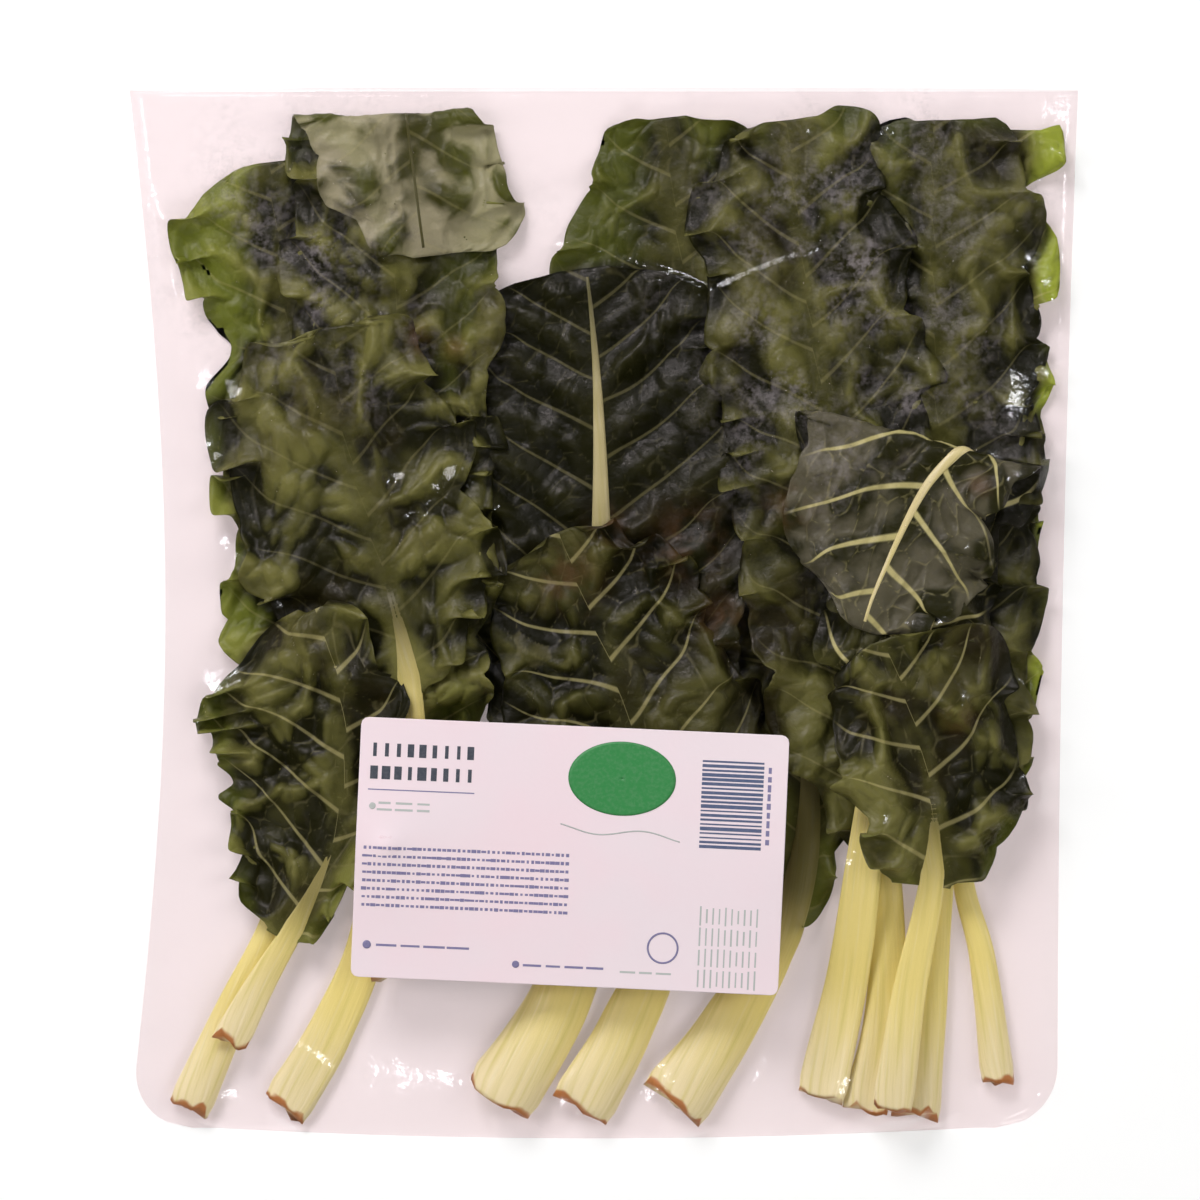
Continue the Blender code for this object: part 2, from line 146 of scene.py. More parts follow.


# In the order in which they lie, the lowest first.
LEAVES = (
    Leaf(
        "leaf_centre_right",
        ((23, -165), (41, -140), (58, -110), (68, -79), (68, -42), (54, 5), (37, 66), (27, 116), (21, 168)),
        26, 62,
        (3, 8, 18, 30, 38, 42, 40, 22, 10),
        (2, 6, 15, 27, 34, 34, 32, 26, 12),
        seed=1, ruffle=0.9, veins=0.15, rib=0.15, tone=0.5, rib_up=False, edge=0.3, dark=0.4,
    ),
    Leaf(
        "leaf_centre_back",
        ((-35, -164), (-15, -130), (-5, -96), (-1, -46), (-1, 29), (-2, 72), (-4, 99), (-6, 117)),
        27, 96,
        (4, 16, 34, 44, 46, 46, 42, 34, 16),
        (4, 16, 36, 46, 48, 48, 44, 32, 14),
        seed=2, ruffle=0.6, blister=0.5, pleat=1.7, veins=0.13, rib=1.0, tone=0.0, edge=0.0, dark=0.92,
    ),
    Leaf(
        "leaf_centre_front",
        ((-8, -166), (7, -140), (17, -113), (15, -69), (7, -29), (-5, 2), (-15, 28)),
        23, 92,
        (5, 14, 28, 36, 38, 36, 30, 20, 8),
        (5, 16, 30, 38, 40, 38, 32, 22, 8),
        seed=3, ruffle=1.1, pleat=1.0, veins=0.45, rib=0.1, tone=0.1, edge=0.0, dark=0.45, rib_up=False,
    ),
    Leaf(
        "leaf_left_back",
        ((-140, -166), (-125, -133), (-111, -103), (-102, -62), (-98, 5), (-100, 56), (-106, 96), (-113, 153)),
        16, 70,
        (4, 10, 20, 26, 30, 31, 34, 28, 12),
        (4, 10, 24, 30, 34, 34, 32, 26, 12),
        seed=4, notches=((-1, 268, 17, 8), (-1, 232, 4, 6)),
        ruffle=1.2, veins=0.15, rib=0.1, tone=0.6, rib_up=False, edge=0.35,
    ),
    Leaf(
        "leaf_left_tip",
        ((-108, -167), (-92, -140), (-80, -110), (-73, -62), (-71, 5), (-71, 72), (-69, 123), (-67, 170), (-64, 222)),
        18, 100,
        (5, 18, 32, 36, 36, 37, 36, 22, 8),
        (5, 18, 30, 34, 34, 33, 24, 36, 22),
        seed=5, crease=(-68, 164, 92), ruffle=1.0, pleat=1.5, veins=0.12, rib=0.05, tone=0.5, edge=0.1, rib_up=False,
    ),
    Leaf(
        "leaf_left_middle",
        ((-72, -122), (-67, -89), (-64, -49), (-67, -12), (-77, 25), (-87, 62), (-91, 97)),
        14, 98,
        (4, 14, 30, 40, 43, 42, 38, 28, 10),
        (4, 14, 28, 37, 38, 38, 34, 24, 10),
        seed=6, ruffle=1.4, veins=0.1, rib=0.0, tone=0.55, rib_up=False,
    ),
    Leaf(
        "leaf_left_front",
        ((-126, -143), (-115, -123), (-103, -103), (-92, -79), (-87, -56), (-87, -32), (-92, -10), (-97, 2)),
        13, 40,
        (6, 16, 30, 40, 46, 49, 42, 26, 8),
        (3, 8, 12, 16, 17, 17, 16, 12, 5),
        seed=7, notches=((-1, 88, 9, 6),), ruffle=1.2, veins=0.45, rib=0.3, tone=0.75, rib_up=False,
    ),
    Leaf(
        "leaf_right_edge",
        ((133, -158), (128, -116), (121, -83), (127, -29), (133, 39), (135, 106), (137, 164)),
        12, 76,
        (4, 10, 20, 24, 24, 24, 24, 22, 12),
        (4, 10, 18, 17, 14, 16, 16, 19, 14),
        seed=8, notches=((1, 300, 9, 7), (1, 258, 5, 8), (1, 190, 4, 8)),
        ruffle=1.1, veins=0.3, rib=0.2, tone=1.0, edge=0.95,
    ),
    Leaf(
        "leaf_right_back",
        ((105, -169), (109, -130), (113, -79), (114, -29), (113, 39), (112, 106), (111, 167)),
        18, 84,
        (4, 14, 28, 34, 36, 36, 33, 26, 10),
        (4, 14, 26, 32, 34, 34, 33, 31, 20),
        seed=9, ruffle=1.1, blister=0.7, veins=0.12, rib=0.05, tone=0.2, rib_up=False, dark=0.25,
    ),
    Leaf(
        "leaf_right_tall",
        ((88, -167), (95, -130), (95, -79), (89, -29), (79, 39), (69, 106), (62, 167)),
        16, 84,
        (4, 14, 28, 34, 36, 36, 34, 28, 14),
        (4, 14, 28, 34, 36, 36, 34, 28, 14),
        seed=10, ruffle=1.1, blister=0.7, veins=0.15, rib=0.1, tone=0.25, rib_up=False, dark=0.2,
    ),
    Leaf(
        "leaf_right_folded",
        (
            (73, -163), (82, -123), (88, -79), (95, -39), (108, 2), (118, 28), (123, 50), (118, 78), (122, 113),
            (126, 130),
        ),
        18, 114,
        (4, 12, 24, 36, 44, 53, 36, 18, 6),
        (3, 8, 16, 20, 20, 24, 34, 20, 8),
        seed=12, crease=(123, 50, 73.6), ruffle=1.1, veins=1.1, rib=1.0, tone=0.4, dark=0.68, rib_up=False,
    ),
    Leaf(
        "leaf_right_front",
        ((97, -166), (102, -130), (110, -89), (109, -56), (102, -30), (94, -8)),
        15, 78,
        (14, 19, 24, 27, 29, 29, 26, 18, 8),
        (8, 18, 28, 31, 33, 34, 30, 20, 8),
        seed=11, ruffle=1.2, veins=0.45, rib=0.1, tone=0.4, rib_up=False,
    ),
)


# Browned patches in plan: middle and radius, in mm.
BRUISES = (
    (-12, 12, 9),
    (2, 30, 6),
    (28, 24, 11),
    (125, 43, 4),
    (62, 36, 7),
    (-62, 93, 5),
    (-50, 90, 4),
    (40, -2, 8),
    (118, -34, 5),
)


# ---------------------------------------------------------------- numbers

NOISE_TABLE = np.random.default_rng(11).uniform(-1, 1, (256, 256))


def ease(t):
    """Rises smoothly from 0 at 0 to 1 at 1."""
    t = np.clip(t, 0, 1)
    return t * t * (3 - 2 * t)


def noise(x, y, seed=0):
    """Smooth noise between -1 and 1 whose lumps are about one unit across."""
    i, j = np.floor(x).astype(int), np.floor(y).astype(int)
    u, v = ease(x - i), ease(y - j)
    i, j = i + 37 * seed, j + 91 * seed
    corner = [NOISE_TABLE[(i + a) % 256, (j + b) % 256] for a, b in ((0, 0), (1, 0), (0, 1), (1, 1))]
    return (corner[0] * (1 - u) + corner[1] * u) * (1 - v) + (corner[2] * (1 - u) + corner[3] * u) * v


def layered_noise(x, y, seed=0, layers=3):
    """Noise with finer and weaker noise on it."""
    return sum(noise(x * 2**k, y * 2**k, seed + 5 * k) / 2**k for k in range(layers))


def cells(x, y, seed=0):
    """Distance to the boundary of irregular cells one unit across, and a number for each cell."""
    i, j = np.floor(x).astype(int), np.floor(y).astype(int)
    nearest = np.full(x.shape, 9.0)
    second = np.full(x.shape, 9.0)
    name = np.zeros(x.shape)
    for a in (-1, 0, 1):
        for b in (-1, 0, 1):
            ci, cj = i + a, j + b
            px = ci + 0.5 + 0.42 * NOISE_TABLE[(ci + 13 * seed) % 256, (cj + 57 * seed) % 256]
            py = cj + 0.5 + 0.42 * NOISE_TABLE[(ci + 101 * seed) % 256, (cj + 29 * seed + 7) % 256]
            d = np.hypot(px - x, py - y)
            closer = d < nearest
            second = np.where(closer, nearest, np.minimum(second, d))
            name = np.where(closer, NOISE_TABLE[(ci + 5) % 256, (cj + 3 * seed) % 256], name)
            nearest = np.where(closer, d, nearest)
    return second - nearest, name


def blur(field, times):
    """A grid's values, each averaged with its neighbours this many times."""
    for _ in range(times):
        padded = np.pad(field, 1, mode="edge")
        across = (padded[1:-1, :-2] + padded[1:-1, 2:] + 2 * field) / 4
        padded = np.pad(across, 1, mode="edge")
        field = (padded[:-2, 1:-1] + padded[2:, 1:-1] + 2 * across) / 4
    return field


def between_points(grid, i, j):
    """A grid's values at rows i and columns j, which may lie between whole numbers."""
    i = np.clip(i, 0, grid.shape[0] - 1.001)
    j = np.clip(j, 0, grid.shape[1] - 1.001)
    a, b = i.astype(int), j.astype(int)
    u, w = i - a, j - b
    near = grid[a, b] * (1 - u) + grid[a + 1, b] * u
    far = grid[a, b + 1] * (1 - u) + grid[a + 1, b + 1] * u
    return near * (1 - w) + far * w


def smooth_curve(points, samples=24):
    """A smooth curve through the given points."""
    p = np.array(points, float)
    p = np.concatenate([2 * p[:1] - p[1:2], p, 2 * p[-1:] - p[-2:-1]])
    t = np.linspace(0, 1, samples, endpoint=False)[:, None]
    pieces = [
        0.5 * (2 * b + (c - a) * t + (2 * a - 5 * b + 4 * c - d) * t**2 + (3 * b - a - 3 * c + d) * t**3)
        for a, b, c, d in zip(p, p[1:], p[2:], p[3:])
    ]
    return np.concatenate([*pieces, p[-2:-1]])


# ---------------------------------------------------------------- meshes


def grid_quads(rows, columns, start=0):
    """A quad for each cell of a grid whose points are numbered row by row."""
    r, c = np.meshgrid(np.arange(rows - 1), np.arange(columns - 1), indexing="ij")
    a = (start + r * columns + c).ravel()
    return np.stack([a, a + 1, a + columns + 1, a + columns], 1)


def sheet_faces(rows, columns, start=0):
    """Faces of a closed sheet: a grid of points for its upper side, then the same for its lower side."""
    count = rows * columns
    upper = grid_quads(rows, columns, start)
    lower = grid_quads(rows, columns, start + count)[:, ::-1]
    rim = np.concatenate(
        [
            np.arange(columns - 1),
            np.arange(columns - 1, count - 1, columns),
            np.arange(count - 1, count - columns, -1),
            np.arange(count - columns, 0, -columns),
        ]
    )
    rim = start + rim
    after = np.roll(rim, -1)
    return np.concatenate([upper, lower, np.stack([after, rim, rim + count, after + count], 1)])


def tube_faces(rings, sides, start=0):
    """Faces of a tube of rings of points, without its ends."""
    r, c = np.meshgrid(np.arange(rings - 1), np.arange(sides), indexing="ij")
    a = (start + r * sides + c).ravel()
    b = (start + r * sides + (c + 1) % sides).ravel()
    return np.stack([a, b, b + sides, a + sides], 1)


def make_mesh(name, points, faces, materials=(), material_of=None, attributes=None, uv=None, flat=0):
    """A smooth-shaded mesh object from arrays. faces is a list of arrays, each of one kind of polygon.
    The last few faces, as many as flat says, are flat-shaded."""
    mesh = bpy.data.meshes.new(name)
    sizes = np.concatenate([np.full(len(f), f.shape[1]) for f in faces])
    corners = np.concatenate([f.ravel() for f in faces])
    mesh.vertices.add(len(points))
    mesh.vertices.foreach_set("co", np.asarray(points, np.float32).ravel())
    mesh.loops.add(len(corners))
    mesh.loops.foreach_set("vertex_index", corners.astype(np.int32))
    mesh.polygons.add(len(sizes))
    starts = np.concatenate([[0], np.cumsum(sizes)[:-1]])
    mesh.polygons.foreach_set("loop_start", starts.astype(np.int32))
    mesh.polygons.foreach_set("use_smooth", np.arange(len(sizes)) < len(sizes) - flat)
    if material_of is not None:
        mesh.polygons.foreach_set("material_index", material_of.astype(np.int32))
    for key, values in (attributes or {}).items():
        layer = mesh.attributes.new(key, "FLOAT", "POINT")
        layer.data.foreach_set("value", np.asarray(values, np.float32))
    if uv is not None:
        layer = mesh.uv_layers.new(name="UVMap")
        layer.data.foreach_set("uv", np.asarray(uv, np.float32)[corners].ravel())
    for material in materials:
        mesh.materials.append(material)
    mesh.update(calc_edges=True)
    mesh.validate()
    obj = bpy.data.objects.new(name, mesh)
    bpy.context.scene.collection.objects.link(obj)
    return obj


# ---------------------------------------------------------------- node trees


class Nodes:
    """A short way to write a node tree."""

    def __init__(self, tree):
        self.tree = tree
        tree.nodes.clear()

    def node(self, kind, inputs=(), **settings):
        """A new node's outputs. inputs has a value, or a socket to join, for each input that it names."""
        made = self.tree.nodes.new(kind)
        for key, value in settings.items():
            setattr(made, key, value)
        for key, value in dict(inputs).items():
            socket = made.inputs[key]
            if isinstance(value, bpy.types.NodeSocket):
                self.tree.links.new(value, socket)
            elif socket.type == "RGBA":
                socket.default_value = (*value, 1)
            else:
                socket.default_value = value
        return made.outputs

    def math(self, operation, a, b=0.0):
        return self.node("ShaderNodeMath", {0: a, 1: b}, operation=operation)[0]


class Look(Nodes):
    """A short way to write a material."""

    def __init__(self, name):
        self.material = bpy.data.materials.new(name)
        self.material.use_nodes = True
        super().__init__(self.material.node_tree)

    def attribute(self, name):
        return self.node("ShaderNodeAttribute", attribute_name=name)["Fac"]

    def coordinates(self, kind="Object"):
        return self.node("ShaderNodeTexCoord")[kind]

    def ramp(self, value, low, high, to_low=0.0, to_high=1.0):
        inputs = dict(enumerate((value, low, high, to_low, to_high)))
        return self.node("ShaderNodeMapRange", inputs, interpolation_type="SMOOTHSTEP")[0]

    def mix(self, factor, a, b):
        return self.node("ShaderNodeMix", {0: factor, 6: a, 7: b}, data_type="RGBA")[2]

    def noise(self, vector, scale, detail=3.0, roughness=0.55):
        inputs = {"Vector": vector, "Scale": scale, "Detail": detail, "Roughness": roughness}
        return self.node("ShaderNodeTexNoise", inputs)["Fac"]

    def stretch(self, vector, scale):
        return self.node("ShaderNodeMapping", {"Vector": vector, "Scale": scale})[0]

    def bump(self, height, strength, distance):
        return self.node("ShaderNodeBump", {"Height": height, "Strength": strength, "Distance": distance})[0]

    def clear(self, tint, roughness, normal, power, share, least):
        """A see-through surface that reflects more where it turns away from the eye."""
        see = self.node("ShaderNodeBsdfTransparent", {"Color": tint})[0]
        gloss = {"Color": (1, 1, 1), "Roughness": roughness, "Normal": normal}
        gloss = self.node("ShaderNodeBsdfGlossy", gloss)[0]
        facing = self.node("ShaderNodeLayerWeight", {"Blend": 0.5})["Facing"]
        shine = self.math("ADD", self.math("MULTIPLY", self.math("POWER", facing, power), share), least)
        return self.node("ShaderNodeMixShader", {0: shine, 1: see, 2: gloss})[0]

    def solid(self, colour, roughness, more=()):
        """The material, with a plain opaque surface."""
        inputs = {"Base Color": colour, "Roughness": roughness, **dict(more)}
        return self.finish(self.node("ShaderNodeBsdfPrincipled", inputs)[0])

    def finish(self, surface):
        self.node("ShaderNodeOutputMaterial", {"Surface": surface})
        return self.material


class Growth(Nodes):
    """A short way to write a Geometry Nodes group that puts pieces on points."""

    def __init__(self, name, inputs):
        super().__init__(bpy.data.node_groups.new(name, "GeometryNodeTree"))
        face = self.tree.interface
        face.new_socket("Geometry", in_out="INPUT", socket_type="NodeSocketGeometry")
        for kind, keys in inputs.items():
            for key in keys:
                face.new_socket(key, in_out="INPUT", socket_type="NodeSocket" + kind)
        face.new_socket("Geometry", in_out="OUTPUT", socket_type="NodeSocketGeometry")
        self.given = self.node("NodeGroupInput")

    def chance(self, low, high, seed):
        return self.node("FunctionNodeRandomValue", {2: low, 3: high, "Seed": seed}, data_type="FLOAT")[1]

    def finish(self, points, piece, size):
        scale = self.node("ShaderNodeCombineXYZ", dict(enumerate(size)))[0]
        inputs = {"Points": points, "Instance": piece, "Scale": scale}
        placed = self.node("GeometryNodeInstanceOnPoints", inputs)[0]
        real = self.node("GeometryNodeRealizeInstances", {0: placed})[0]
        coated = self.node("GeometryNodeSetMaterial", {0: real, "Material": self.given["Material"]})[0]
        self.node("NodeGroupOutput", {0: coated})
        return self.tree


def blade_material(settings):
    """Leaf tissue with pale veins, a paler underside, painted shade in its hollows and painted highlights on its
    puckers.
    """
    t = Look("leaf_blade")
    place = t.coordinates()
    lumps = t.noise(place, 70, 4)
    grain = t.noise(place, 420, 3)
    patches = t.noise(place, 26, 3)
    # How high each place stands, from the crest attribute and a little noise: the mixes below turn it into painted
    # shade in the hollows and a painted highlight on the puckers.
    height = t.math("ADD", t.attribute("crest"), t.ramp(lumps, 0.3, 0.7, -0.16, 0.16))
    green = t.mix(t.ramp(height, 0.22, 0.56), settings.leaf_painted_shade, settings.leaf_mid)
    green = t.mix(t.ramp(height, 0.55, 0.95, 0, 0.85), green, settings.leaf_pale_and_painted_highlight)
    # A paler leaf shows its paler tone most on its raised parts: partly its own tone, partly a painted highlight.
    paler = t.math("MULTIPLY", t.attribute("tone"), t.ramp(height, 0.2, 0.6, 0.05, 0.42))
    green = t.mix(paler, green, settings.leaf_pale_and_painted_highlight)
    green = t.mix(t.ramp(patches, 0.52, 0.72, 0, 0.45), green, (0.034, 0.026, 0.008))
    flecks = t.noise(t.stretch(place, (1, 1, 0.2)), 38, 2)
    green = t.mix(t.ramp(flecks, 0.55, 0.72, 0, 0.3), green, settings.leaf_pale_and_painted_highlight)
    # On the underside the blade's green shows in random patches and in the hollows; in the hollows it is painted
    # shade.
    swollen = t.math("ADD", height, t.ramp(patches, 0.3, 0.7, -0.3, 0.3))
    below = t.mix(t.ramp(swollen, 0.25, 0.7), settings.leaf_mid, settings.leaf_underside)
    green = t.mix(t.attribute("underside"), green, below)
    # Painted backlight: a single layer of blade with light behind it is painted a bright yellow-green.
    green = t.mix(t.attribute("thin"), green, settings.leaf_painted_backlight)
    # Painted shade: a leaf that lies in shade is darkened towards the painted shade colour.
    green = t.mix(t.attribute("dark"), green, settings.leaf_painted_shade)
    # side veins: a line where the veins' phase passes a whole number and a half, narrower towards the margin
    phase = t.math("FRACT", t.attribute("vein_phase"))
    from_vein = t.math("ABSOLUTE", t.math("SUBTRACT", phase, 0.5))
    line = t.ramp(from_vein, t.attribute("vein_width"), 0.0, 0, 1.6)
    line = t.math("MULTIPLY", t.math("MINIMUM", line, 1.0), t.attribute("vein_pale"))
    net = t.ramp(t.attribute("cell_edge"), 0.10, 0.0, 0, 0.18)
    net = t.math("MULTIPLY", net, t.math("ADD", t.attribute("vein_pale"), 0.2))
    green = t.mix(t.math("MAXIMUM", line, net), green, settings.vein)
    bruise = t.math("MULTIPLY", t.attribute("bruise"), t.ramp(t.noise(place, 90, 4), 0.35, 0.6))
    green = t.mix(t.math("MULTIPLY", bruise, 0.65), green, (0.10, 0.052, 0.018))
    bump = t.bump(t.math("ADD", grain, lumps), 0.5, 0.8 * MM)
    return t.solid(green, t.ramp(grain, 0.3, 0.7, 0.36, 0.52), {"Specular IOR Level": 0.25, "Normal": bump})


def stem_material(settings):
    """A petiole: whitish at the cut and greener up to the blade, with long fibres, and a browned cut end."""
    t = Look("leaf_stem")
    along = t.attribute("along")
    lengthwise = t.stretch(t.coordinates("UV"), (12, 260, 1))
    fibres = t.noise(lengthwise, 1.0, 3, 0.6)
    fine = t.noise(t.stretch(t.coordinates("UV"), (30, 900, 1)), 1.0, 2)
    blotch = t.noise(t.coordinates(), 60, 3)
    pale = t.mix(t.ramp(along, 0.0, 0.045), settings.stem_base, settings.stem_middle)
    pale = t.mix(t.ramp(along, 0.07, 0.19), pale, settings.stem_top)
    pale = t.mix(t.ramp(fibres, 0.42, 0.72, 0, 0.6), pale, (0.64, 0.58, 0.13))
    pale = t.mix(t.ramp(fine, 0.5, 0.8, 0, 0.4), pale, (0.95, 0.90, 0.66))
    split = t.noise(t.stretch(t.coordinates("UV"), (9, 150, 1)), 1.0, 2)
    pale = t.mix(t.ramp(split, 0.66, 0.76, 0, 0.5), pale, (0.42, 0.22, 0.06))
    # The rib turns to the blade's green where it barely shows and near its tip, and in a leaf that lies in shade also
    # as painted shade.
    pale = t.mix(t.attribute("rib_green_and_painted_shade"), pale, settings.leaf_mid)
    cut = t.math("ADD", t.attribute("cut"), t.ramp(blotch, 0.3, 0.75, -0.35, 0.35))
    pale = t.mix(t.ramp(cut, 0.35, 0.85), pale, settings.cut_end)
    bump = t.bump(t.math("ADD", fibres, fine), 0.4, 0.5 * MM)
    return t.solid(pale, t.ramp(blotch, 0.3, 0.7, 0.3, 0.45), {"Normal": bump})


def film_material(settings):
    """Clear film: it lets light through, reflects at its creases, and is fogged where water has settled."""
    t = Look("bag_film")
    place = t.coordinates()
    shine = t.clear(settings.film, 0.11, t.bump(t.noise(place, 150, 3), 0.25, 1 * MM), 4.0, 0.6, 0.012)
    mist = t.node("ShaderNodeBsdfDiffuse", {"Color": settings.mist})[0]
    spots = t.ramp(t.noise(place, 330, 4, 0.7), 0.38, 0.72)
    spots = t.math("MULTIPLY", spots, t.ramp(t.noise(place, 48, 3), 0.4, 0.66))
    amount = t.math("MULTIPLY", t.attribute("mist"), t.math("MULTIPLY", spots, 0.55))
    return t.finish(t.node("ShaderNodeMixShader", {0: amount, 1: shine, 2: mist})[0])


# ---------------------------------------------------------------- the pile of leaves


class Pile:
    """How high the pieces laid so far reach, and how many leaves cover each place, on a grid over the plan."""

    CELL = 1.2 * MM

    def __init__(self):
        self.corner = np.array([-0.6 * BAG_WIDTH, -0.6 * BAG_LENGTH])
        counts = np.ceil(1.2 * np.array([BAG_WIDTH, BAG_LENGTH]) / self.CELL).astype(int) + 2
        self.top = np.zeros(counts)
        self.layers = np.zeros(counts)

    def cell(self, x, y):
        i = np.clip(np.rint((x - self.corner[0]) / self.CELL).astype(int), 1, self.top.shape[0] - 2)
        j = np.clip(np.rint((y - self.corner[1]) / self.CELL).astype(int), 1, self.top.shape[1] - 2)
        return i, j

    def height(self, x, y):
        i, j = self.cell(x, y)
        return np.max([self.top[i + a, j + b] for a in (-1, 0, 1) for b in (-1, 0, 1)], axis=0)

    def add(self, x, y, z):
        for dx in (-0.4, 0.4):
            for dy in (-0.4, 0.4):
                np.maximum.at(self.top, self.cell(x + dx * self.CELL, y + dy * self.CELL), z)

    def cover(self, x, y):
        covered = np.zeros_like(self.layers)
        i, j = self.cell(x, y)
        for a in (-1, 0, 1):
            for b in (-1, 0, 1):
                covered[i + a, j + b] = 1
        self.layers += covered

    def covered(self, x, y):
        return self.layers[self.cell(x, y)]


def keep_inside(x, y):
    """Presses what reaches for a side seam back from it."""
    left, right = bag_edges(y)
    near, room = SEAM_BAND, 6 * MM
    x = np.where(x > right - near, right - near + room * np.tanh((x - right + near) / room), x)
    return np.where(x < left + near, left + near - room * np.tanh((left + near - x) / room), x)


class LeafShape:
    """One leaf's own coordinates: how far along its rib (s) and how far to its right (v), both in metres."""

    STEP = 1.25 * MM
    COARSE = 5 * MM

    def __init__(self, leaf, settings):
        self.leaf = leaf
        self.settings = settings
        curve = smooth_curve(leaf.route) * MM
        steps = np.linalg.norm(np.diff(curve, axis=0), axis=1)
        self.run = np.concatenate([[0], np.cumsum(steps)])
        self.curve = curve
        self.length = self.run[-1]
        self.bare = leaf.bare * MM
        self.widest = (max(leaf.left + leaf.right) + 7) * MM
        self.s = np.arange(-6 * MM, self.length + 8 * MM, self.STEP)
        self.v = np.arange(-self.widest, self.widest + self.STEP, self.STEP)
        self.base = self.base_heights()
        self.lift = np.zeros((len(self.s), len(self.v)))

    def line(self, s):
        """The rib's place in plan and its direction at each distance."""
        x, y = (np.interp(s, self.run, line) for line in self.curve.T)
        near, far = np.clip(s - 4 * MM, 0, self.length), np.clip(s + 4 * MM, 0, self.length)
        dx, dy = (np.interp(far, self.run, line) - np.interp(near, self.run, line) for line in self.curve.T)
        size = np.hypot(dx, dy)
        dx, dy = dx / size, dy / size
        beyond = s - np.clip(s, 0, self.length)
        return x + beyond * dx, y + beyond * dy, dx, dy

    def along_blade(self, s):
        return np.clip((s - self.bare) / (self.length - self.bare), 0, 1)

    def on_blade(self, s):
        """0 on the bare stem and 1 on the blade."""
        return ease(self.along_blade(s) / 0.06)

    def width_at(self, s, v):
        """The blade's half width on the side on which v is."""
        return np.where(v < 0, self.half_width(s, -1), self.half_width(s, 1))

    def margin_wave(self, s, v):
        """The angle of the margin's wave."""
        side = np.where(v < 0, -1, 1)
        wave = s / WAVE_LENGTH + 0.9 * noise(s / (35 * MM), side + 0.0, self.leaf.seed + 17)
        return 2 * math.pi * wave

    def half_width(self, s, side):
        """The blade's half width on one side (-1 left, 1 right) at each distance along the rib."""
        widths = np.array(self.leaf.left if side < 0 else self.leaf.right, float)
        at = smooth_curve(np.stack([np.arange(len(widths)), widths], 1), 12)
        angle = np.arccos(1 - 2 * self.along_blade(s)) / math.pi * (len(widths) - 1)
        w = np.interp(angle, at[:, 0], at[:, 1]) * MM
        seed = self.leaf.seed + (50 if side > 0 else 0)
        wave = s / (25 * MM) + 0.5 * noise(s / (30 * MM), 0 * s, seed)
        scallop = np.abs(np.sin(math.pi * wave)) ** 0.7 - 0.62
        w = w + self.leaf.ruffle * 4.0 * MM * scallop * ease(w / (16 * MM))
        lobe = np.sin(2 * math.pi * s / (43 * MM) + 2.1 * self.leaf.seed + side)
        w = w + self.leaf.ruffle * 2.6 * MM * lobe * ease(w / (20 * MM))
        w = w + 1.6 * MM * layered_noise(s / (9 * MM), 0 * s + 3, seed) * ease(w / (10 * MM))
        for at_side, where, depth, spread in self.leaf.notches:
            if at_side == side:
                w = w - depth * MM * np.exp(-(((s - where * MM) / (spread * MM)) ** 2))
        return np.maximum(w, 1.5 * MM)

    def rib_half(self, s):
        """The stem's and midrib's half width."""
        stem = self.leaf.stem / 2 * MM
        low = stem * (1 - 0.42 * np.clip(s / self.bare, 0, 1) ** 0.8)
        high = stem * 0.58 * (1 - self.along_blade(s)) ** (1.4 if self.leaf.rib > 0.5 else 4.5) + 0.6 * MM
        return np.where(s < self.bare, low, np.minimum(high, stem * 0.58))

    def vein_phase(self, s, v):
        """A number that is a whole number and a half along each side vein."""
        side = np.sign(v) + (v == 0)
        seed = self.leaf.seed
        bend = 0.55 * np.abs(v) + 5.0 * v * v
        wander = 0.16 * layered_noise(s / (40 * MM), v / (30 * MM), seed + 3, 2)
        return (s - bend) / VEIN_SPACING + 0.25 * side + wander + 0.31 * seed

    def relief(self, s, v):
        """The blade's height over its own middle surface, and the puckers' pattern: (height, cell edge, crest)."""
        leaf, seed = self.leaf, self.leaf.seed
        q = np.clip(np.abs(v) / self.width_at(s, v), 0, 1.2)
        from_rib = ease((np.abs(v) - self.rib_half(s)) / (8 * MM))
        phase = self.vein_phase(s, v)
        bend_s = s + 7 * MM * noise(s / (15 * MM), v / (15 * MM), seed + 40)
        bend_v = v + 7 * MM * noise(s / (15 * MM), v / (15 * MM), seed + 41)
        edge, name = cells(bend_s / (8 * MM), bend_v / (7 * MM), seed)
        dome = 1 - np.exp(-edge / 0.28)
        blister = leaf.blister * self.settings.pucker * (dome - 0.45 + 0.35 * name * dome)
        pleat = leaf.pleat * self.settings.pleat * (0.5 - 0.5 * np.cos(2 * math.pi * (phase - 0.5)) - 0.4)
        broad = self.settings.fold * layered_noise(bend_s / (34 * MM), bend_v / (24 * MM), seed + 9, 2)
        ridge = np.abs(layered_noise(bend_s / (26 * MM), bend_v / (19 * MM), seed + 23, 2))
        crumple = self.settings.crumple * (0.30 - ridge) * leaf.ruffle
        ruffle = leaf.ruffle * self.settings.ruffle * ease((q - 0.4) / 0.6) * np.sin(self.margin_wave(s, v))
        own = (blister + pleat + crumple) * from_rib
        height = (own + broad * (0.3 + 0.7 * from_rib) + ruffle) * self.on_blade(s)
        # crest drives the painted shade and the painted highlight in the blade's material.
        crest = np.clip(0.5 + (own + 0.6 * ruffle + 0.5 * broad) / (5.5 * MM), 0, 1)
        return height, edge, crest

    def drift(self, s, v):
        """How far the ruffled margin leans along the rib."""
        rise = ease((np.abs(v) / self.width_at(s, v) - 0.5) / 0.5)
        return self.leaf.ruffle * 3.0 * MM * rise * self.on_blade(s) * np.cos(self.margin_wave(s, v) + 0.6)

    def plan(self, s, v):
        """Where a point of the leaf is in plan before any folding."""
        x, y, dx, dy = self.line(s)
        return x + dy * v, y - dx * v

